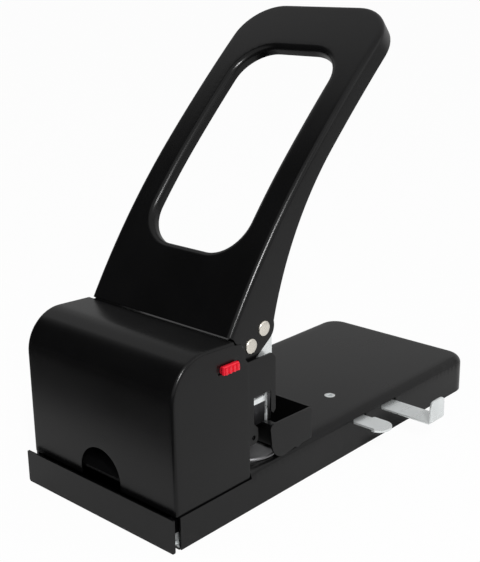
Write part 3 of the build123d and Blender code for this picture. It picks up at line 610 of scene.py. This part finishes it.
def makeLever():
    skin = Skin()
    bend, step, corner = lever["bend"], lever["step"], lever["corner"]
    width, top = lever["halfWidth"], -lever["highLength"]
    flank = openLine([(-width, lever["lowLength"]), (-width, top + corner)], step)
    sideCount = len(flank)
    rim = roundedEnd(width, top, corner, 14, step, [(x, v, 1, 0) for x, v in flank])
    skin.rows([[leverPoint(x + nx * inset, v + nv * inset, drop) for x, v, nx, nv in rim]
        for inset, drop in bendProfile(bend)])
    # the window's edge rolls in and runs down as a wall
    half, low, high = lever["windowHalf"], lever["windowLow"], lever["windowHigh"]
    ring = closedLine(rectangle(-half, low, half, high, lever["windowCorner"]), step)
    middle = (low + high) / 2
    roll = lever["windowBend"]

    def spread(point, grow):
        # the ring, grown outward by this much
        x, v = point
        flatX, flatV = half - lever["windowCorner"], (low - high) / 2 - lever["windowCorner"]
        cx, cv = max(-flatX, min(flatX, x)), max(-flatV, min(flatV, v - middle))
        away = Vector((x - cx, v - middle - cv))
        away = away.normalized() * (away.length + grow)
        return cx + away.x, middle + cv + away.y

    wall = bendProfile(roll) + [(0, d) for d in lever["windowWall"]]
    skin.rows([[leverPoint(*spread(p, grow), depth) for p in ring] for grow, depth in wall],
        closed=True)
    # face between the rim and the window
    edge = [(x + nx * bend, v + nv * bend) for x, v, nx, nv in rim]
    heel = openLine([edge[-1], edge[0]], step)[1:-1]
    skin.fill(edge + heel, lambda x, v: leverPoint(x, v, 0),
        [[spread(p, roll) for p in ring]], step)
    # flange round the top
    depths = [bend, *lever["flangeRows"], lever["flange"]]
    around = rim[sideCount - 1:len(rim) - sideCount + 1]
    skin.rows([[leverPoint(x, v, d) for x, v, nx, nv in around] for d in depths])
    # side flanges, with the lugs for the pivot and the link
    outline = [leverPoint(0, v, bend)[1:] for x, v in flank]
    outline += [leverPoint(0, top + corner, d)[1:] for d in depths[1:]]
    start = lever["flangeStraight"]
    outline += [leverPoint(0, v, lever["flange"])[1:]
        for v in np.linspace(top + corner, start, 18)[1:]]
    # an arc leaves the straight part smoothly and ends on the link's lug
    slope = math.radians(lever["angle"]) + start / lever["highRadius"]
    square = Vector((math.sin(slope), math.cos(slope)))
    first, edge = Vector(outline[-1]), lever["lugEdge"]
    last = Vector(arcPoints(lever["link"], lever["lug"], edge, edge, 1)[0])
    chord = last - first
    radius = chord.length_squared / (2 * chord.dot(square))
    centre = first + square * radius
    a0, a1 = (math.degrees(math.atan2(p.y - centre.y, p.x - centre.x)) for p in (first, last))
    sweep = (a1 - a0 + 180) % 360 - 180
    outline += arcPoints(centre, abs(radius), a0, a0 + sweep, 20)[1:]
    apart = Vector(lever["link"]) - Vector(lever["pivot"])
    tilt = math.degrees(math.atan2(apart.y, apart.x))
    outline += arcPoints(lever["link"], lever["lug"], edge, tilt + 90, 12)[1:]
    outline += arcPoints(lever["pivot"], lever["lug"], tilt + 90, 360, 18)
    outline += openLine([outline[-1], outline[0]], step)[1:-1]
    for side in (-1, 1):
        skin.fill(outline, lambda y, z: (side * width, y, z), [], step)
    piece = pressed("leverShell", skin, (0, 0.72, 0.69), lever["sheet"])
    seat(piece, "lever", "handle")


makeLever()
print("lever made")

# ---- cover: a folded hood with a round shoulder

cover = {
    "halfWidth": 0.0622, "sheet": 0.001, "bend": 0.002, "rear": 0.1482, "bottom": 0.0206,
    "top": 0.109, "fall": 0.0012, "shoulder": 0.024, "topFront": 0.100,
    "sideFront": 0.0885,
    "notch": [(0.0948, 0.1050), (0.0918, 0.1005), (0.0913, 0.095), (0.0885, 0.0915)],
    "tongueHalf": 0.0562, "tongueFront": 0.089, "archRadius": 0.017, "archTop": 0.0418,
    "slot": (0.0970, 0.0922, 0.1138, 0.0970),    # low and high corner of the knob's slot
    "slotCorner": 0.0012,
    "gridX": (-0.057, 0.058),                    # where filling points lie on the shoulder
    "edge": 0.00025, "step": 0.004,
}


def coverPath():
    # the hood's side view as a function of length along it
    tilt = math.asin(cover["fall"] / (cover["rear"] - cover["shoulder"] - cover["topFront"]))
    rise = cover["top"] - cover["shoulder"] - cover["bottom"]
    sweep = math.pi / 2 + tilt
    centre = (cover["rear"] - cover["shoulder"], cover["top"] - cover["shoulder"])
    round_ = cover["shoulder"] * sweep

    def place(x, along, depth):
        if along <= rise:
            return x, cover["rear"] - depth, cover["bottom"] + along
        turn = min(1, (along - rise) / round_) * sweep
        y = centre[0] + (cover["shoulder"] - depth) * math.cos(turn)
        z = centre[1] + (cover["shoulder"] - depth) * math.sin(turn)
        rest = max(0, along - rise - round_)
        return x, y - rest * math.cos(tilt), z - rest * math.sin(tilt)

    last = place(0, rise + round_, 0)
    return place, rise, round_, rise + round_ + (last[1] - cover["topFront"]) / math.cos(tilt)


def makeCover():
    place, rise, round_, full = coverPath()
    skin = Skin()
    half, bend, step = cover["halfWidth"], cover["bend"], cover["step"]
    onBend = [rise + round_ * i / 16 for i in range(16)]
    alongs = [a for a, _ in openLine([(0, 0), (rise, 0)], step)[:-1]] + onBend
    alongs += [a for a, _ in openLine([(rise + round_, 0), (full, 0)], step)]
    for side in (-1, 1):
        skin.rows([[place(side * (half - inset), a, drop) for a in alongs]
            for inset, drop in bendProfile(bend)])
    # rear, shoulder, top and tongue in one developed area, with the finger arch cut from its foot
    inner = half - bend
    archZ = cover["archTop"] - cover["archRadius"] - cover["bottom"]
    arch = [(x, archZ + z) for x, z in arcPoints((0, 0), cover["archRadius"], 0, 180, 24)]
    foot = openLine([(inner, 0), (cover["archRadius"], 0), arch[0]], step)[1:-1] + arch
    foot += openLine([arch[-1], (-cover["archRadius"], 0), (-inner, 0)], step)[1:-1]
    tongue = cover["tongueHalf"]
    reach = full + cover["topFront"] - cover["tongueFront"]
    front = openLine([(-inner, full), (-tongue, full), (-tongue, reach), (tongue, reach),
        (tongue, full), (inner, full)], step)[1:-1]
    outline = [(-inner, a) for a in alongs] + front + [(inner, a) for a in reversed(alongs)] + foot
    more = [(x, a) for a in onBend[1:] for x in np.arange(*cover["gridX"], step)]
    skin.fill(outline, lambda x, a: place(x, a, 0), [], step, more)
    # side walls
    edge = [place(0, a, bend)[1:] for a in alongs]
    foot = (cover["sideFront"], cover["bottom"])
    outline = edge + openLine(cover["notch"] + [foot, edge[0]], step)[:-1]
    slot = closedLine(rectangle(*cover["slot"], cover["slotCorner"]), 0.003)
    for side in (-1, 1):
        skin.fill(outline, lambda y, z: (side * half, y, z), [slot] if side < 0 else [], step)
    piece = pressed("coverShell", skin, (0, 1, 0), cover["sheet"], cover["edge"])
    seat(piece, "frame", "cover")


makeCover()
print("cover made")

# ---- base: a shallow pan, upside down, with a rounded front

base = {
    "halfWidth": 0.0632, "front": -0.1526, "rear": 0.1462, "top": 0.0262, "lift": 0.0006,
    "sheet": 0.0015, "corner": 0.0148, "bend": 0.0057,
    "wallFrom": 0.0882,      # the cover's walls stand behind this line
    "wallInner": 0.0609, "wallFoot": 0.0203,
    "windows": [(-0.0585, -0.0415, 0.0188, 0.0225), (-0.0245, -0.0105, 0.0193, 0.0228)],
    "windowCorner": 0.0008,
    "screws": [(-0.0323, -0.0252), (0.0323, -0.0252)],
    "screwHole": 0.0037, "dieHole": 0.0081,
    "dies": [(-0.04, 0.0685), (0.04, 0.0685)],
    "step": 0.005,
}


def makeBase():
    skin = Skin()
    half, bend, corner, step = base["halfWidth"], base["bend"], base["corner"], base["step"]
    start, stop = base["wallFrom"], base["front"] + corner
    side = [y for y, _ in openLine([(start, 0), (stop, 0)], step)]
    rim = roundedEnd(half, base["front"], corner, 10, step)
    foot = base["top"] - base["lift"]
    walls = [bend + (foot - bend) * i / 5 for i in range(1, 6)]
    drops = bendProfile(bend, 8) + [(0, d) for d in walls]
    skin.rows([[(x + nx * s, y + ny * s, base["top"] - d) for x, y, nx, ny in rim]
        for s, d in drops])
    # deck
    inner = half - bend
    edge = [(-inner, y) for y in side[:-1]]
    edge += [(x + nx * bend, y + ny * bend) for x, y, nx, ny in rim]
    edge += [(inner, y) for y in reversed(side[:-1])]
    wall = base["wallInner"]
    edge += openLine([(inner, start), (wall, start), (wall, base["rear"]), (-wall, base["rear"]),
        (-wall, start), (-inner, start)], step)[1:-1]
    holes = [roundHole(c, base["screwHole"], 24) for c in base["screws"]]
    holes += [roundHole(c, base["dieHole"], 32) for c in base["dies"]]
    skin.fill(edge, lambda x, y: (x, y, base["top"]), holes, step)
    # long sides, measured down from the top of the bend
    arc = bend * math.pi / 2

    def sidePoint(sign, y, down):
        if down < arc:
            turn = down / bend
            drop = bend * (1 - math.cos(turn))
            return sign * (inner + bend * math.sin(turn)), y, base["top"] - drop
        return sign * half, y, base["top"] - bend - (down - arc)

    def downTo(z):
        drop = base["top"] - z
        return bend * math.acos(1 - drop / bend) if drop < bend else arc + drop - bend

    full = arc + foot - bend
    onBend = [arc * i / 8 for i in range(1, 9)]
    wallFoot = downTo(base["wallFoot"])
    outline = [(y, 0) for y in side] + [(side[-1], m) for m in onBend]
    outline += [(side[-1], arc + d - bend) for d in walls]
    outline += openLine([(side[-1], full), (base["rear"], full), (base["rear"], wallFoot),
        (start, wallFoot), (start, 0)], step)[1:-1]
    more = [(y, a) for a in onBend[:-1] for y in side[1:-1]]
    windows = [closedLine(rectangle(y0, downTo(z1), y1, downTo(z0), base["windowCorner"]), 0.003)
        for y0, y1, z0, z1 in base["windows"]]
    for sign in (-1, 1):
        holes = windows if sign < 0 else []
        skin.fill(outline, lambda y, d: sidePoint(sign, y, d), holes, step, more)
    seat(pressed("basePan", skin, (0, -1, 0), base["sheet"]), "frame", "base_plate")


makeBase()
print("base made")

# ---- waste drawer: an open box behind a bare lip

drawer = {
    "lipHalf": 0.064, "lipRear": 0.1525, "lipTop": 0.0213, "lipFoot": 0.0006,
    "lipSheet": 0.0012, "lipEdge": 0.0005,
    "lipCorners": [0.0015, 0.0015, 0.0008, 0.0008],
    "halfWidth": 0.0575, "innerEnd": 0.041, "floor": 0.003, "top": 0.019, "bend": 0.002,
    "corner": 0.003, "nearCorner": 0.0004, "sheet": 0.0012,
}


def makeDrawer():
    half, bend = drawer["lipHalf"], drawer["bend"]
    lip = Skin()
    outline = rectangle(-half, drawer["lipFoot"], half, drawer["lipTop"], drawer["lipCorners"])
    lip.fill(closedLine(outline, 0.005), lambda x, z: (x, drawer["lipRear"], z), [], 0.006)
    front = pressed("drawerLip", lip, (0, 1, 0), drawer["lipSheet"], drawer["lipEdge"])
    # box: floor with three rounded folds, open on top, closed by the lip's plate
    box = Skin()
    wide, near = drawer["halfWidth"], drawer["lipRear"] - drawer["lipSheet"]
    fold = [(inset, drawer["floor"] + drop) for inset, drop in bendProfile(bend, 5)]
    fold.append((0, drawer["top"]))
    corner = drawer["corner"]
    radii = [corner, corner] + [drawer["nearCorner"]] * 2
    ring = closedLine(rectangle(-wide, drawer["innerEnd"], wide, near, radii), 0.008)

    def drawn(point, inset):
        x, y = point
        return (x - math.copysign(min(inset, abs(x)), x) * (abs(x) > wide - corner),
            min(near - inset, max(drawer["innerEnd"] + inset, y)))

    box.rows([[(*drawn(p, inset), z) for p in ring] for inset, z in fold], closed=True)
    box.fill([drawn(p, bend) for p in ring], lambda x, y: (x, y, drawer["floor"]), [], 0.01)
    tub = pressed("drawerBox", box, (0, -1, 0), drawer["sheet"])
    seat(joined("drawerPan", [front, tub]), "drawer", "chip_tray")


makeDrawer()
print("drawer made")

# ---- paper clamp: a trough between two lobed cheeks

clamp = {
    "halfWidth": 0.066, "sheet": 0.0012, "front": 0.0365, "floor": 0.0285,
    "floorBack": 0.0625, "wallTop": 0.049, "bend": 0.002, "lobe": (0.0625, 0.0377),
    "lobeRadius": 0.011, "lobeFront": 0.0505, "heel": 0.0450, "backTop": (0.075, 0.050),
    "corners": [0.0018, 0.002, 0.003, 0, 0, 0.004, 0.003],
    "ear": (0.0572, 0.069, 0.0735, 0.0497),     # inner end, Y limits and top
    "edge": 0.00025, "cheekEdge": 0.0005, "earEdge": 0.0003,
}


def makeClamp():
    inner = clamp["halfWidth"] - clamp["sheet"]
    front, floor, bend = clamp["front"], clamp["floor"], clamp["bend"]
    trough = Skin()
    path = [(clamp["floorBack"], floor)]
    path += [(front + inset, floor + drop) for inset, drop in bendProfile(bend)]
    path.append((front, clamp["wallTop"]))
    across = [x for x, _ in openLine([(-inner, 0), (inner, 0)], 0.008)]
    trough.rows([[(x, y, z) for x in across] for y, z in path])
    pieces = [pressed("clampTrough", trough, (0, -1, 0), clamp["sheet"], clamp["edge"])]
    lobeY, lobeZ = clamp["lobe"]
    radius = clamp["lobeRadius"]
    corners = [(front, floor), (front, clamp["wallTop"]), clamp["backTop"], (lobeY + radius, lobeZ),
        (lobeY, lobeZ), (clamp["lobeFront"], lobeZ - radius), (clamp["heel"], floor)]
    # the lobe's arc stands in for its centre and the corner before it
    outline = [p for p in roundedCorners(corners, clamp["corners"])
        if math.dist(p, clamp["lobe"]) > detail["merge"]]
    at = max(i for i, p in enumerate(outline) if math.dist(p, corners[3]) < detail["merge"])
    outline[at:at + 1] = arcPoints(clamp["lobe"], radius, 0, -90, 14)
    earInner, y0, y1, top = clamp["ear"]
    for side in (-1, 1):
        pieces.append(sidePlate("clampCheek", outline, side, (inner, clamp["halfWidth"]),
            clamp["cheekEdge"], 0.004))
        pieces.append(sideBox("clampEar", side, (earInner, inner + detail["overlap"]), y0, y1,
            top - clamp["sheet"], top, clamp["earEdge"]))
    seat(joined("clampPlate", pieces), "clamp", "paper_clamp")


makeClamp()
print("clamp made")

# ---- outer side plates with the slot beside the punches

sideFrame = {
    "x": (0.0601, 0.0611),
    "outline": [(0.0645, 0.056), (0.0645, 0.0886), (0.068, 0.092), (0.116, 0.092), (0.124, 0.084),
        (0.124, 0.0262), (0.090, 0.0262), (0.090, 0.040), (0.080, 0.040), (0.080, 0.049),
        (0.0835, 0.0525), (0.0835, 0.069), (0.0685, 0.069), (0.0685, 0.056), (0.0665, 0.054)],
    "radii": [0.0012, 0.0012, 0.0012, 0.002, 0.002, 0, 0, 0, 0.0035, 0.001, 0.001, 0.0008, 0.0008,
        0.0018, 0],
    "hole": ((0.0839, 0.0441), 0.0015),
    "foot": (0.006, 0.098, 0.124, 0.0262, 0.0272),     # depth, Y and Z limits
    "edge": 0.0002,
}


def makeSidePlates():
    outline = roundedCorners(sideFrame["outline"], sideFrame["radii"])
    hole = roundHole(*sideFrame["hole"], 20)
    inner, edge = sideFrame["x"][0], sideFrame["edge"]
    deep, *limits = sideFrame["foot"]
    for side, name in sides:
        plate = sidePlate("plate", outline, side, sideFrame["x"], edge, 0.005, [hole])
        foot = sideBox("foot", side, (inner, inner - deep), *limits, edge)
        piece = joined("sidePlate_" + name, [plate, foot])
        seat(piece, "frame", "side_plate_" + name)


makeSidePlates()

# ---- yokes and hangers: bright plates in the gap between lever and base

yoke = {
    "x": (0.0545, 0.0565),
    "outline": [(0.0625, 0.084), (0.0743, 0.084), (0.0743, 0.097), (0.0772, 0.100),
        (0.0772, 0.1133), (0.0625, 0.1133)],
    "radii": [0.001, 0.001, 0.002, 0.001, 0.0025, 0.0025],
    "slot": (0.0705, 0.1072, 0.0046, 0.0034),     # centre, half length and half height
    "edge": 0.00025,
}
hanger = {
    "x": (0.0572, 0.0584),
    "outline": [(0.069, 0.0497), (0.069, 0.0692), (0.0706, 0.0692), (0.0712, 0.0656),
        (0.0815, 0.0652), (0.0822, 0.0624), (0.0706, 0.0624), (0.0697, 0.0616),
        (0.0697, 0.0540), (0.0702, 0.0530), (0.0702, 0.0497)],
    "radii": [0, 0.0006, 0.0006, 0.0006, 0.001, 0.001, 0.0005, 0.0005, 0.0005, 0.0005, 0],
    "tab": (0.0504, 0.0749, 0.0820, 0.0628, 0.0640),     # inner end, Y and Z limits
    "edge": 0.00015, "tabEdge": 0.0002,
}


def makeYokes():
    outline = roundedCorners(yoke["outline"], yoke["radii"])
    for side, name in sides:
        plate = sidePlate("yokePlate_" + name, outline, side, yoke["x"], yoke["edge"], 0.004,
            [longHole(*yoke["slot"])])
        seat(plate, "punch_head", "yoke_" + name, "zinc_plate")


def makeHangers():
    pieces = []
    outline = roundedCorners(hanger["outline"], hanger["radii"])
    tabInner, *limits = hanger["tab"]
    depths = tabInner, hanger["x"][0] + detail["overlap"]
    for side in (-1, 1):
        pieces.append(sidePlate("hanger", outline, side, hanger["x"], hanger["edge"], 0.004))
        pieces.append(sideBox("hangerTab", side, depths, *limits, hanger["tabEdge"]))
    seat(joined("clampHangers", pieces), "clamp", "clamp_hangers", "zinc_plate")


makeYokes()
makeHangers()
print("side plates, yokes and hangers made")

# ---- rivets, dies and screws

rivets = {
    "profile": [(0, -0.0004), (0.00455, -0.0004), (0.00455, 0.0003), (0.0044, 0.00065),
        (0.00405, 0.00088), (0.0034, 0.00102), (0.0022, 0.00113), (0.001, 0.00118), (0, 0.0012)],
    "shafts": {"pivot": 0.0035, "link": 0.003},     # radius at each of the lever's lugs
}


def headsAt(name, profile, segments, places, facing, angle):
    # the same turned head at several places
    head = turned("head", profile, (0, 0, 0), (0, 0, 1), segments)
    heads = grown(name, headsOnPoints, {"Head": head}, places, facing)
    bpy.data.objects.remove(head)
    return smoothed(heads, angle)


def makeRivets():
    half = lever["halfWidth"]
    for name, radius in rivets["shafts"].items():
        y, z = lever[name]
        heads = headsAt(name + "Heads", rivets["profile"], 48, [(-half, y, z), (half, y, z)],
            [(-1, 0, 0), (1, 0, 0)], 60)
        profile = [(0, 0), (radius, 0), (radius, 2 * half), (0, 2 * half)]
        shaft = turned("shaft", profile, (-half, y, z), (1, 0, 0), 40)
        seat(joined(name + "Rivet", [heads, shaft]), "lever", name + "_shaft", "nickel_rivet")


dies = {
    "profile": [(0.00305, 0.0222), (0.0078, 0.0222), (0.008, 0.0224), (0.008, 0.0262),
        (0.0205, 0.0262), (0.0205, 0.0271), (0.0204, 0.0273), (0.0197, 0.0279),
        (0.0194, 0.028), (0.0042, 0.028), (0.0039, 0.0279), (0.0033, 0.0274),
        (0.00305, 0.0271), (0.00305, 0.0222)],
}


def makeDies():
    for (side, name), place in zip(sides, base["dies"]):
        piece = turned("dieDisc_" + name, dies["profile"], (*place, 0), (0, 0, 1), 96)
        seat(piece, "frame", "die_" + name, "tool_steel")


deckScrews = {
    "profile": [(0, -0.0098), (0.00195, -0.0098), (0.00195, -0.0015), (0.0036, -0.0002),
        (0.0036, 0.0), (0.0034, 0.0001), (0.0019, 0.0001), (0.0017, -0.0001),
        (0.0015, -0.0026), (0, -0.0027)],
}


def makeDeckScrews():
    places = [(*place, base["top"]) for place in base["screws"]]
    screws = headsAt("deckScrews", deckScrews["profile"], 40, places, [(0, 0, 1)] * 2, 35)
    seat(screws, "frame", "deck_screws", "zinc_plate")


# each coil lists its joint, a "seat" and the share of its length that it keeps at the limit
returnCoil = {
    "wire": {"Radius": 0.0046, "Height": 0.0186, "Turns": 4.5, "Wire": 0.0007},
    "axis": (0, 0, 1), "joint": "lever_pivot", "keep": 0.30,
}
springs = {
    "returnCoil_" + name: {**returnCoil, "node": "return_spring_" + name,
        "start": (*place, 0.0607), "seat": (*place, 0.0600)}
    for (side, name), place in zip(sides, base["dies"])
}
springs["releaseCoil"] = {
    "wire": {"Radius": 0.00125, "Height": 0.0116, "Turns": 8.0, "Wire": 0.00034},
    "axis": (1, 0, 0), "joint": "release_push", "keep": 0.62, "node": "release_spring",
    "start": (-0.0233, -0.0175, 0.0203), "seat": (-0.0112, -0.0175, 0.0203),
}


def makeSprings():
    for name, spring in springs.items():
        coil = grown(name, wireCoil, spring["wire"])
        coil.data.transform(Matrix.Translation(spring["start"]) @ turnTo(spring["axis"]))
        smoothed(coil, 60)
        seat(coil, "frame", spring["node"], "spring_steel")
        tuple(spring["axis"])
        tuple(spring["seat"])
        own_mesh(coil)


makeRivets()
makeDies()
makeDeckScrews()
makeSprings()
print("rivets, dies, screws and springs made")

# ---- red lock knob with upright ribs

knob = {
    "low": (-0.0648, 0.0990, 0.0920), "high": (-0.0624, 0.1115, 0.0972),
    "neck": (-0.0606, 0.0010, 0.0005),     # inner end, and how far it stays back in Y and Z
    "ribs": 4, "ribRadius": 0.0011,
    "neckStart": 0.0004,                   # how deep the neck begins in the knob
    "edge": 0.0007, "neckEdge": 0.0002,
}


def makeKnob():
    (x0, y0, z0), (x1, y1, z1), edge = knob["low"], knob["high"], knob["edge"]
    body = softBox("knobBody", knob["low"], knob["high"], edge)
    inner, lessY, lessZ = knob["neck"]
    neck = softBox("knobNeck", (x1 - knob["neckStart"], y0 + lessY, z0 + lessZ),
        (inner, y1 - lessY, z1 - lessZ), knob["neckEdge"])
    pitch = (y1 - y0) / knob["ribs"]
    ribs = grown("knobRibs", ribsInRow, {"Count": knob["ribs"], "Pitch": (0, pitch, 0),
        "Length": (0, 0, z1 - z0 - 2 * edge), "Radius": knob["ribRadius"]},
        [(x0, y0 + pitch / 2, z0 + edge)])
    smoothed(ribs, 50)
    seat(joined("lockKnob", [body, neck, ribs]), "lock", "lock_knob", "red_plastic")


makeKnob()

# ---- paper guide and its release tab

guide = {
    "y": (-0.058, -0.042), "bottom": 0.0191, "sheet": 0.0014, "outer": -0.101,
    "inner": 0.025, "top": 0.0346, "corner": 0.004, "bend": 0.0022, "rowsFrom": 0.02,
    "rowStep": 0.01, "edge": 0.00025,
}


def makeGuide():
    skin = Skin()
    y0, y1 = guide["y"]
    x0, bottom, bend, corner = guide["outer"], guide["bottom"], guide["bend"], guide["corner"]
    path = [(guide["inner"], bottom)]
    path += [(x, bottom) for x in np.arange(guide["rowsFrom"], x0 + bend, -guide["rowStep"])]
    path += [(x0 + inset, bottom + drop) for inset, drop in bendProfile(bend)]
    across = [y for y, _ in openLine([(y0, 0), (y1, 0)])]
    skin.rows([[(x, y, z) for y in across] for x, z in path])
    corners = [(y1, bottom + bend), (y1, guide["top"]), (y0, guide["top"]), (y0, bottom + bend)]
    upright = roundedCorners(corners, [0, corner, corner, 0])
    skin.fill(closedLine(upright), lambda y, z: (x0, y, z))
    piece = pressed("guideArm", skin, (-1, 0, 0), guide["sheet"], guide["edge"])
    seat(piece, "guide", "paper_guide", "zinc_plate")


release = {
    "y": -0.0175, "half": 0.0065, "bottom": 0.0196, "top": 0.0210, "outer": -0.0860,
    "nose": (-0.0682, -0.0794, 0.0085, 0.0078),     # start on each side, half width, rounding
    "noseCorners": (0.001, 0.0008, 0.001), "innerCorner": 0.0005,
    "body": (-0.0605, -0.024, -0.031), "finger": (-0.055, -0.048, -0.0416),
    "slot": (-0.03455, -0.0252, 0.00455, 0.0023),
}


def makeRelease():
    y, half = release["y"], release["half"]
    farStep, nearStep, noseHalf, noseRound = release["nose"]
    out = release["outer"]
    x0, x1, front = release["body"]
    f0, f1, tip = release["finger"]
    corners = [(out, y - noseHalf), (farStep, y - noseHalf), (farStep, y - half), (x0, y - half),
        (x0, front), (f0, front), (f0, tip), (f1, tip), (f1, front), (x1, front),
        (x1, y + half), (nearStep, y + half), (nearStep, y + noseHalf), (out, y + noseHalf)]
    near = release["noseCorners"]
    radii = [noseRound, *near] + [release["innerCorner"]] * 7 + [near[1], near[0], noseRound]
    skin = Skin()
    skin.fill(closedLine(roundedCorners(corners, radii)), lambda a, b: (a, b, release["top"]),
        [longHole(*release["slot"])])
    piece = pressed("releaseTab", skin, (0, 0, 1), release["top"] - release["bottom"])
    seat(piece, "release", "guide_release", "zinc_plate")


makeGuide()
makeRelease()
print("knob, guide and release made")

# ---- every CAD node that still shows gets its finish

slots = {s["node"]: s["material_slot"] for s in frame["record"]["subparts"]}
for name, node in cadNodes.items():
    if not node.hide_render:
        node.data.materials.clear()
        node.data.materials.append(finishes[slots[name]])

# ---- floor, light and background

studio = {
    "floor": (0.62, 0.62, 0.62),
    "paintedShadeFloor": (0.03, 0.03, 0.03),     # painted shade: the floor goes dark behind the object, seen only as darker reflections in the gloss
    "paintedShadeFloorFrom": (0.213, 0.244),
    "floorGlow": 0.96,         # how far the floor goes to plain white for the camera
    "sky": 0.70,
    # two dark screens show in the gloss: one beside the object, one low in front of it
    "shade": 0.66, "shadeX": (0.30, 0.45), "shadeY": (0.02, 0.15),
    "low": ((0.644, -0.704, 0.299), 0.60, 0.97, 0.26),
}
lampAim = (0, 0, 0.1)
lamps = [
    {"name": "key", "place": (-1.03, 0.82, 1.06), "size": (0.17, 0.44), "power": 24.0},
    {"name": "fill", "place": (-1.5, -0.7, 1.0), "size": (1.2, 1.2), "power": 2.0},
]


def makeFloor():
    work = bmesh.new()
    bmesh.ops.create_grid(work, x_segments=1, y_segments=1, size=30)
    floor = finished("floor", work)
    material, tree, shader = newFinish("floorPaper", studio["floor"], 0.9)
    coords = newNode(tree, "TexCoord")
    apart = newNode(tree, "SeparateXYZ", {0: coords.outputs["Object"]})
    # painted shade: the floor's colour goes dark behind the object, so the gloss of the walls
    # reflects it darker
    away = between(tree, apart.outputs["Y"], *studio["paintedShadeFloorFrom"])
    feed(tree, shader, {"Base Color": blended(tree, away, studio["floor"], studio["paintedShadeFloor"])})
    glow = newNode(tree, "Emission")
    rays = newNode(tree, "LightPath")
    share = reckoned(tree, "MULTIPLY", rays.outputs["Is Camera Ray"], studio["floorGlow"])
    mix = newNode(tree, "MixShader", {"Fac": share, 1: shader.outputs["BSDF"],
        2: glow.outputs["Emission"]})
    feed(tree, tree.nodes["Material Output"], {"Surface": mix.outputs["Shader"]})
    floor.data.materials.append(material)


def makeSky():
    # white for the camera, soft grey with two darker parts for the gloss
    world = bpy.data.worlds.new("studio")
    scene.world = world
    world.use_nodes = True
    tree = world.node_tree
    coords = newNode(tree, "TexCoord").outputs["Generated"]
    way, start, end, depth = studio["low"]
    dot = newNode(tree, "VectorMath", {0: coords, 1: Vector(way).normalized()},
        operation="DOT_PRODUCT")
    apart = newNode(tree, "SeparateXYZ", {0: coords}).outputs
    soft = {"interpolation_type": "SMOOTHSTEP"}
    low = between(tree, dot.outputs["Value"], start, end, 0.0, depth, **soft)
    beside = between(tree, apart["X"], *studio["shadeX"], **soft)
    along = between(tree, apart["Y"], *studio["shadeY"], 0.0, studio["shade"], **soft)
    dark = reckoned(tree, "MULTIPLY", beside, along)
    level = reckoned(tree, "SUBTRACT", reckoned(tree, "SUBTRACT", studio["sky"], low), dark)
    rays = newNode(tree, "LightPath")
    pick = newNode(tree, "Mix", {0: rays.outputs["Is Camera Ray"], 2: level, 3: 1.0},
        data_type="FLOAT")
    feed(tree, tree.nodes["Background"], {"Color": (1, 1, 1, 1), "Strength": pick.outputs[0]})


def makeLamps():
    for lamp in lamps:
        data = bpy.data.lights.new(lamp["name"], "AREA")
        data.shape, data.energy = "ELLIPSE", lamp["power"]
        data.size, data.size_y = lamp["size"]
        light = bpy.data.objects.new(lamp["name"], data)
        scene.collection.objects.link(light)
        light.location = lamp["place"]
        aim = Vector(lampAim) - light.location
        light.rotation_euler = aim.to_track_quat("-Z", "Y").to_euler()


makeFloor()
makeSky()
makeLamps()
scene.view_settings.view_transform = "Standard"
print("studio made")
